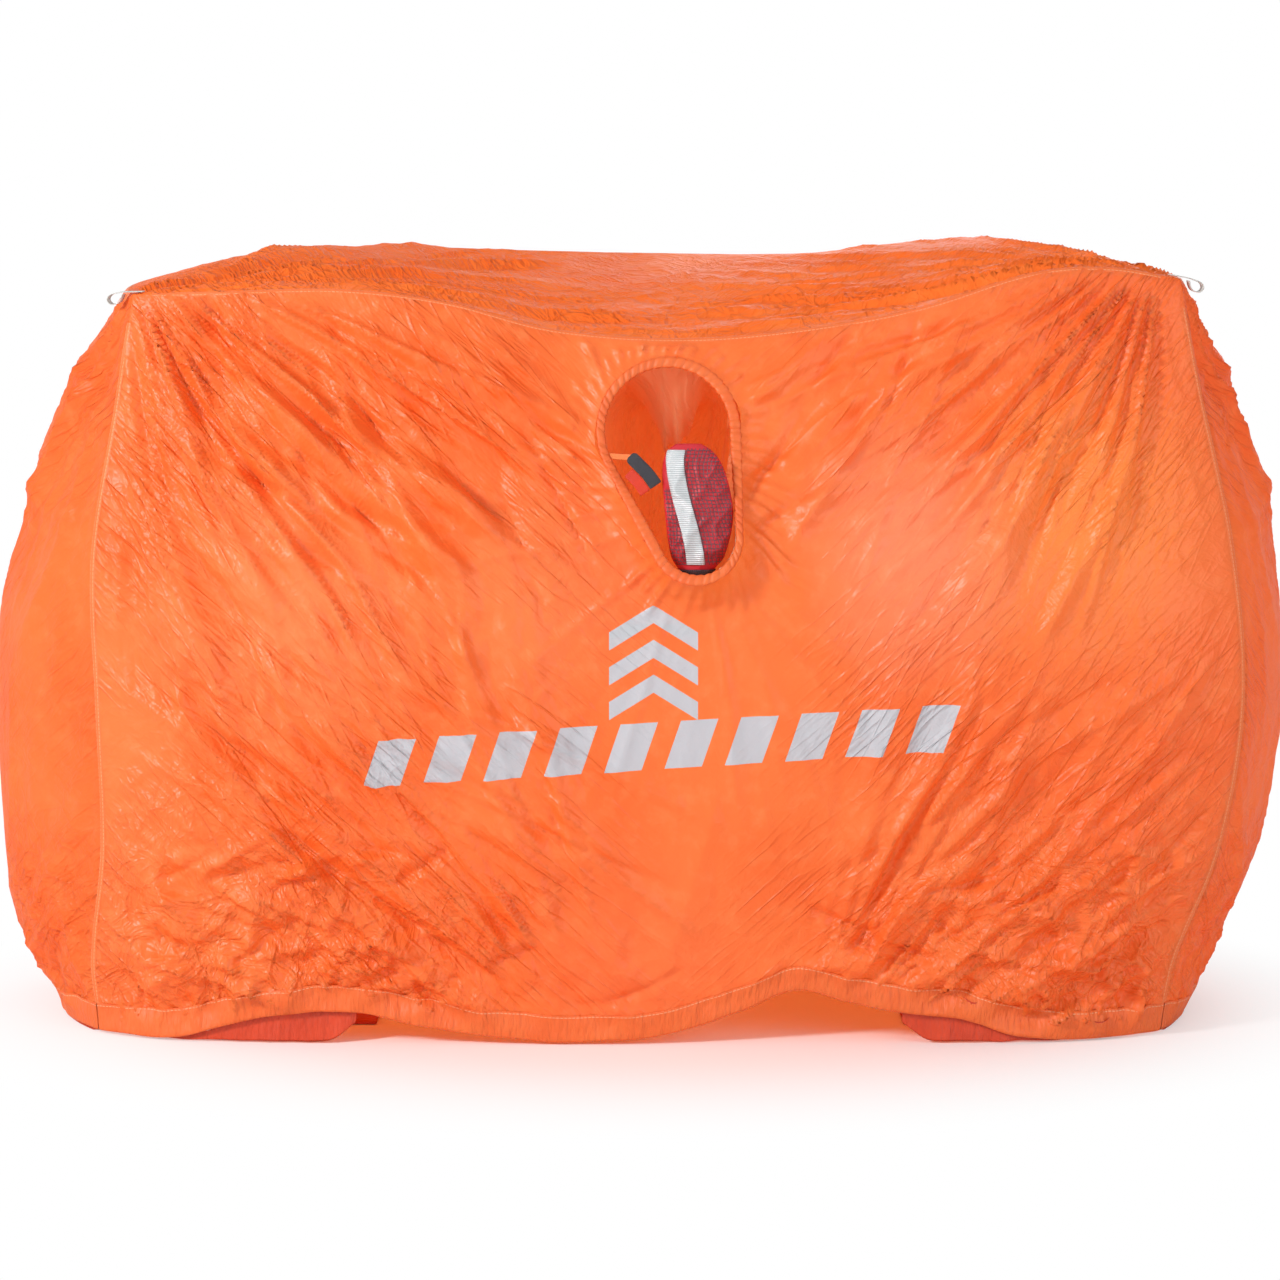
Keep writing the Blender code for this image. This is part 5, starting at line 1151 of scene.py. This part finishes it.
count = rim["count"]
centre = mouthRing(count, -rim["inset"], 1.0)
wider = mouthRing(count, -rim["inset"] + 0.001, 1.0)
perimeter = sum((centre[k] - centre[k - 1]).length for k in range(count))
rows = []
for k, p in enumerate(centre):
    out = (wider[k] - p).normalized()
    run = (centre[(k + 1) % count] - centre[k - 1]).normalized()
    deep = out.cross(run).normalized()
    deep = deep if deep.y > 0 else -deep
    travel = perimeter * k / count
    even = math.sin(math.pi * k / count)  # the pleats are even where the ring closes
    drift = 0.9 * noise.noise((travel / rim["driftPitch"], 0.7, 4.4)) * even
    pleat = abs(math.sin(math.pi * (travel / rim["gatherPitch"] + drift))) ** 0.7
    deepness = 0.75 + 0.5 * noise.noise((travel / rim["depthPitch"], 3.1, 2.2)) * even
    pinch = 1 - rim["gather"] * (1 - pleat) * deepness
    row = []
    for n in range(rim["section"]):
        angle = 2 * math.pi * n / rim["section"]
        c, d = math.cos(angle), math.sin(angle)
        groove = 1 - 0.30 * math.exp(-((c / 0.28) ** 2))  # the stitched line along the middle of the casing
        row.append(p + out * (c * rim["halfWidth"] * (0.70 + 0.30 * pinch))
                   + deep * (d * rim["halfDepth"] * groove * pinch))
    rows.append(row)
rows.append(rows[0])
stripPiece("ventRim", rows, rimNylon, nodes=("vent_collar",), closed=True, levels=0)
tubePiece("ventElastic", mouthRing(96, -rim["inset"], 1.0), rim["elastic"], elasticBraid, "vent_rim_elastic",
          slot="elastic", closed=True)

# The tunnel starts inside the rim, runs back to the wall and bends down to its end.
inside = -(rim["inset"] + rim["halfWidth"] * 0.7)
firstRings = [(inside, 1.0, -.0015), (inside + .0035, 0.8, 0), (-.0030, 0.4, 0), (-.0018, 0, 0),
              (-.0013, 0, -tunnel["straight"])]  # grown by, share of the rim's stand, moved out by
rows = [mouthRing(tunnel["columns"], *ring) for ring in firstRings]
start = rows[-1]
middle = sum(start, Vector()) / len(start)
end = Vector(tunnel["end"])
for k in range(1, tunnel["steps"] + 1):
    s = k / tunnel["steps"]
    row = []
    for first in start:
        angle = math.atan2(first.z - middle.z, first.x - middle.x)
        c, d = math.cos(angle), math.sin(angle)
        reach = tunnel["reachLow"] + (tunnel["reachHigh"] - tunnel["reachLow"]) * (0.5 + 0.5 * d)
        last = end + Vector((c, d, 0)) * tunnel["endRadius"] + Vector((0, 0, tunnel["endStraight"]))
        pull, fall = first + Vector((0, reach, 0)), last + Vector((0, 0, tunnel["drop"]))
        p = first * (1 - s) ** 3 + pull * (3 * s * (1 - s) ** 2) + fall * (3 * s**2 * (1 - s)) + last * s**3
        inwards = (middle.lerp(end, s) - p).normalized()
        pleat = ridge(c * 2.4, d * 2.4 + s * 0.8, 15.0) + 0.4 * ridge(c * 5, d * 5 + s * 2, 19.0)
        p = p + inwards * (tunnel["pleats"] * pleat * math.sin(math.pi * min(1, s * 1.05)) ** 0.8)
        hang = math.exp(-(((angle - tunnel["foldAngle"]) / tunnel["foldWidth"]) ** 2)
                        - (((s - tunnel["foldPlace"]) / tunnel["foldLength"]) ** 2))
        hang *= 0.86 + 0.30 * ridge(angle * 7.5, s * 2, 27.0)
        row.append(p - Vector((0, tunnel["foldBack"] * hang, tunnel["foldDrop"] * hang)))
    rows.append(row)
rows.append([p - Vector((0, 0, tunnel["endStraight"])) for p in rows[-1]])
stripPiece("ventTunnel", rows, tunnelNylonPaintedLight, nodes=("vent_tunnel",), closed=True)

rows = []
for k in range(tunnel["casingSteps"] + 1):
    angle = math.pi / 2 + 2 * math.pi * k / tunnel["casingSteps"]
    c, d = math.cos(angle), math.sin(angle)
    out = Vector((c, d, 0))
    base = end + out * (tunnel["endRadius"] + tunnel["casingPinch"] * noise.noise((c * 6, d * 6, 3.0)))
    rows.append([base + out * a + Vector((0, 0, b)) for a, b in tunnel["casing"]])
stripPiece("tunnelCasing", rows, hemNylon, nodes=("tunnel_casing",), thickness=tunnel["casingThick"])
angles = [math.pi / 2 + 2 * math.pi * k / tunnel["cordSteps"] for k in range(tunnel["cordSteps"])]
cordWithTails("tunnelDrawcord", [end + Vector((math.cos(angle), math.sin(angle), 0)) * tunnel["endRadius"]
                                 - Vector((0, 0, tunnel["cordBelow"])) for angle in angles], "tunnel_drawcord")
print("stage: vent and tunnel")

# Stuff sack: closed end up, hanging in the mouth of the vent.
sack = {
    "top": vent["z"] + .031, "length": .1355, "y": -.302, "squareness": .85,
    "centreX": [(0, .050), (.3, .057), (.55, .061), (.8, .060), (1, .0575)],
    "halfWidth": [(0, .012), (.05, .022), (.15, .030), (.35, .0345), (.6, .0345), (.85, .028), (.93, .0215),
                  (1, .013)],
    "halfThick": [(0, .004), (.05, .009), (.2, .014), (.5, .017), (.8, .014), (.93, .011), (1, .008)],
    "sides": 128, "rows": 72, "slump": .0040,
    "binding": [(-.0018, .955), (-.0019, .99), (-.0012, 1.008), (.0004, 1.010), (.0019, .995), (.0019, .955)],
    "bindingSteps": 72, "bindingThick": .0005,
}
patch = {"top": .035, "foot": .92, "sideTop": .34, "strapTop": .045, "edge": .93, "steps": 48,
         "under": -.0015,  # how far the meshes run in under the strap
         "strapHalf": .0088, "strapCentre": [(0, -.60), (.45, -.44), (.85, -.10), (1, 0.0)]}


def sackPoint(angle, s, grow=0.0):
    # round the sack by its angle, 0 to 1 down its length
    c, d = math.cos(angle), math.sin(angle)
    wide, thick = along(sack["halfWidth"], s) + grow, along(sack["halfThick"], s) + grow
    x = along(sack["centreX"], s) + math.copysign(abs(c) ** sack["squareness"], c) * wide
    y = sack["y"] - math.copysign(abs(d) ** sack["squareness"], d) * thick
    slump = ridge(x / .016 + s * 1.5, s * 5, 2.2) - 0.3 + 0.3 * (ridge(x / .010, s * 9, 5.2) - 0.3)
    slump *= sack["slump"] * smooth(0.02, 0.2, s) * (1 - smooth(0.85, 1, s))
    return Vector((x, y - slump * (1 if d > 0 else -1), sack["top"] - sack["length"] * s))


def sackFront(share, s, grow):
    # a point on the sack's front from -1 at its left edge to 1 at its right
    share = clamp(share, -0.995, 0.995)
    return sackPoint(math.acos(math.copysign(abs(share) ** (1 / sack["squareness"]), share)), s, grow)


def strapShares(s, room=0.0):
    half = (patch["strapHalf"] + room) / along(sack["halfWidth"], s)
    middle = along(patch["strapCentre"], s)
    return middle - half, middle + half


def sackPatch(name, edges, top, columns, lift, material, node, slot, thickness=0.0):
    # a band of cloth that lies on the sack's front between two edges
    rows = []
    for j in range(patch["steps"] + 1):
        s = top + (patch["foot"] - top) * j / patch["steps"]
        low, high = edges(s)
        rows.append([sackFront(low + (high - low) * c / columns, s, lift) for c in range(columns + 1)])
    stripPiece(name, rows, material, "stuff_sack", (node,), slot, thickness=thickness)


rows = []
for k in range(sack["rows"] + 1):
    s = 1 - k / sack["rows"] if k < sack["rows"] else 0.004
    rows.append([sackPoint(2 * math.pi * n / sack["sides"], s) for n in range(sack["sides"])])
stripPiece("sackBody", rows, sackNylon, "stuff_sack", ("sack_body",), "sack_fabric", closed=True, levels=0,
           caps=(sack["rows"],))
sackPatch("sackMeshPanel", lambda s: (strapShares(s, patch["under"])[1], patch["edge"]), patch["top"], 26, .0013,
          knitMesh, "sack_mesh_panel", "sack_mesh")
sackPatch("sackSideMesh", lambda s: (-patch["edge"], strapShares(s, patch["under"])[0]), patch["sideTop"], 12, .0013,
          knitMesh, "sack_side_mesh", "sack_mesh")
sackPatch("sackStrap", strapShares, patch["strapTop"], 6, .0021, strapWebbing, "sack_strap", "reflective_webbing",
          thickness=.0009)
turns = [2 * math.pi * k / sack["bindingSteps"] for k in range(sack["bindingSteps"] + 1)]
rows = [[sackPoint(turn, s, grow) for grow, s in sack["binding"]] for turn in turns]
stripPiece("sackBinding", rows, bindingTape, "stuff_sack", ("sack_mouth_binding",), "sack_mesh",
           thickness=sack["bindingThick"])

# Label, band and the tether that holds the sack.
label = {"route": [(-.0105, .6235), (-.001, .614), (.0085, .604), (.0165, .593)], "y": -.3085, "half": .0070,
         "bandHalf": .0060, "bandFrom": 5, "bandGap": .0002, "curl": .0012, "thick": .0007,
         "tether": [(-.0327, -.2845, .622), (-.0180, -.2940, .6215), (-.0045, -.3070, .622)], "tetherHalf": .003}

line = smoothLine([Vector((x, label["y"], z)) for x, z in label["route"]], 6)
dark, darkSides, band, bandSides = [], [], [], []
for k, p in enumerate(line):
    run = (line[min(k + 1, len(line) - 1)] - line[max(k - 1, 0)]).normalized()
    aside = Vector((run.z, 0, -run.x))
    curl = Vector((0, -label["curl"] * math.sin(k * 0.5), 0))
    tip = min(1.0, math.sqrt(1 - (1 - min(1.0, k / 3.0 + 0.12)) ** 2))  # the rounded free end
    dark.append(p + curl)
    darkSides.append(aside * label["half"] * tip)
    if k >= label["bandFrom"]:
        band.append(p + aside * (label["half"] + label["bandHalf"] + label["bandGap"]) + curl)
        bandSides.append(aside * label["bandHalf"])
ribbon("sackLabel", dark, darkSides, labelTape, label["thick"], body="stuff_sack", nodes=("sack_label",),
       slot="label")
ribbon("sackLabelBand", band, bandSides, bandTape, label["thick"], body="stuff_sack", nodes=("sack_label_band",),
       slot="label_band")
line = smoothLine([Vector(place) for place in label["tether"]], 5)
ribbon("sackTether", line, [Vector((0, 0, label["tetherHalf"]))] * len(line), seamBinding, label["thick"],
       body="stuff_sack", nodes=("sack_tether",), slot="seam_tape")
print("stage: stuff sack and label")

# Floor seats and the bindings that hinge them.
seat = {"inner": .285, "hinge": {"left": .556, "right": .534}, "half": .165, "thick": .0045, "gap": .0006,
        "quilt": .055, "channel": .005, "edgeRound": .006, "cuts": 63, "bindingAt": .0009, "bindingThick": .0012}

for side, sign in (("left", -1), ("right", 1)):
    hinge, inner, quilt = seat["hinge"][side], seat["inner"], seat["quilt"]
    wide = hinge - inner - seat["gap"]
    bpy.ops.mesh.primitive_cube_add(size=1, location=(sign * (inner + wide / 2), 0, seat["thick"] / 2),
                                    scale=(wide, 2 * seat["half"], seat["thick"] * 0.94))
    pad = bpy.context.object
    pad.name = side + "Seat"
    bpy.ops.object.transform_apply(location=True, rotation=True, scale=True)
    bpy.ops.object.mode_set(mode="EDIT")
    bpy.ops.mesh.select_all(action="SELECT")
    bpy.ops.mesh.subdivide(number_cuts=seat["cuts"])
    bpy.ops.object.mode_set(mode="OBJECT")
    layer = pad.data.uv_layers[0] if pad.data.uv_layers else pad.data.uv_layers.new()
    layer.name = "flatCloth"
    middle = seat["thick"] / 2
    for vertex in pad.data.vertices:
        x, y, z = vertex.co
        edgeOff = min(abs(abs(x) - inner), hinge - abs(x), seat["half"] - abs(y))
        lineX = abs(((abs(x) - inner) / quilt + 0.5) % 1 - 0.5) * quilt
        lineY = abs((y / quilt + 0.5) % 1 - 0.5) * quilt
        sewn = math.exp(-(min(lineX, lineY) / seat["channel"]) ** 2)
        crown = 1 - math.exp(-(edgeOff / seat["edgeRound"]) ** 2)
        if z > middle:
            vertex.co.z = middle + (z - middle) * ((0.34 + 0.66 * crown) * (1 - 0.5 * sewn * crown))
        else:
            vertex.co.z = z * 0.6 + 0.0002 + (0.0006 if edgeOff < 0.003 else 0)
    for corner in pad.data.loops:
        layer.data[corner.index].uv = pad.data.vertices[corner.vertex_index].co.xy
    pad.data.shade_smooth()
    pad.select_set(False)
    placePiece(pad, seatNylonPaintedShade, side + "_seat_pad", (side + "_seat",))
    feet = [fine[k] for k in index[side][0][2:-2]]
    rows = [[Vector((f.x + (sign * hinge - f.x) * c / 6, f.y, seat["bindingAt"])) for c in range(7)] for f in feet]
    stripPiece(side + "SeatBinding", rows, seatNylonPaintedShade, nodes=(side + "_seat_binding",), slot="seat_fabric",
               thickness=seat["bindingThick"], levels=0)

# Webbing loops at the roof's corners.
loop = {"half": .006, "inset": .009, "lift": .0006, "thick": .0011,
        "profile": [(-.014, .0010), (-.006, .0011), (.007, .0011), (.014, .0003), (.0215, -.0014), (.025, -.0064),
                    (.0215, -.0113), (.0145, -.0107), (.0105, -.0069), (.0082, -.0015)]}  # outwards and up

for name, u, v in (("frontLeft", 0, 0), ("frontRight", 1, 0), ("backLeft", 0, 1), ("backRight", 1, 1)):
    corner = roofPoint(u, v)
    out = (corner - roofPoint(27 / 28 if u else 1 / 28, v)).normalized()
    across = (roofPoint(u, 11 / 12 if v else 1 / 12) - corner).normalized()
    up = out.cross(across).normalized()
    up = up if up.z > 0 else -up
    base = corner + across * loop["inset"] + up * loop["lift"]
    line = smoothLine([base + out * a + up * b for a, b in loop["profile"]], 5)
    sideways = out.cross(up).normalized() * loop["half"]
    ribbon(name + "CornerLoop", line, [sideways] * len(line), loopWebbing, loop["thick"],
           nodes=(nodeName(name) + "_corner_loop",), slot="loop_webbing")
print("stage: seats and corner loops")
# Cord locks: the moulded and wire parts keep their shapes.
lockFinishes = {"cord_lock_barrel": blackAcetal, "cord_lock_plunger": blackAcetal, "drawcord_stopper": blackAcetal,
                "cord_lock_spring": springWire}
for place in ("hem", "tunnel"):
    for part, finish in lockFinishes.items():
        piece = bpy.data.objects[place + "_" + part]
        piece.data.materials.clear()
        piece.data.materials.append(finish)
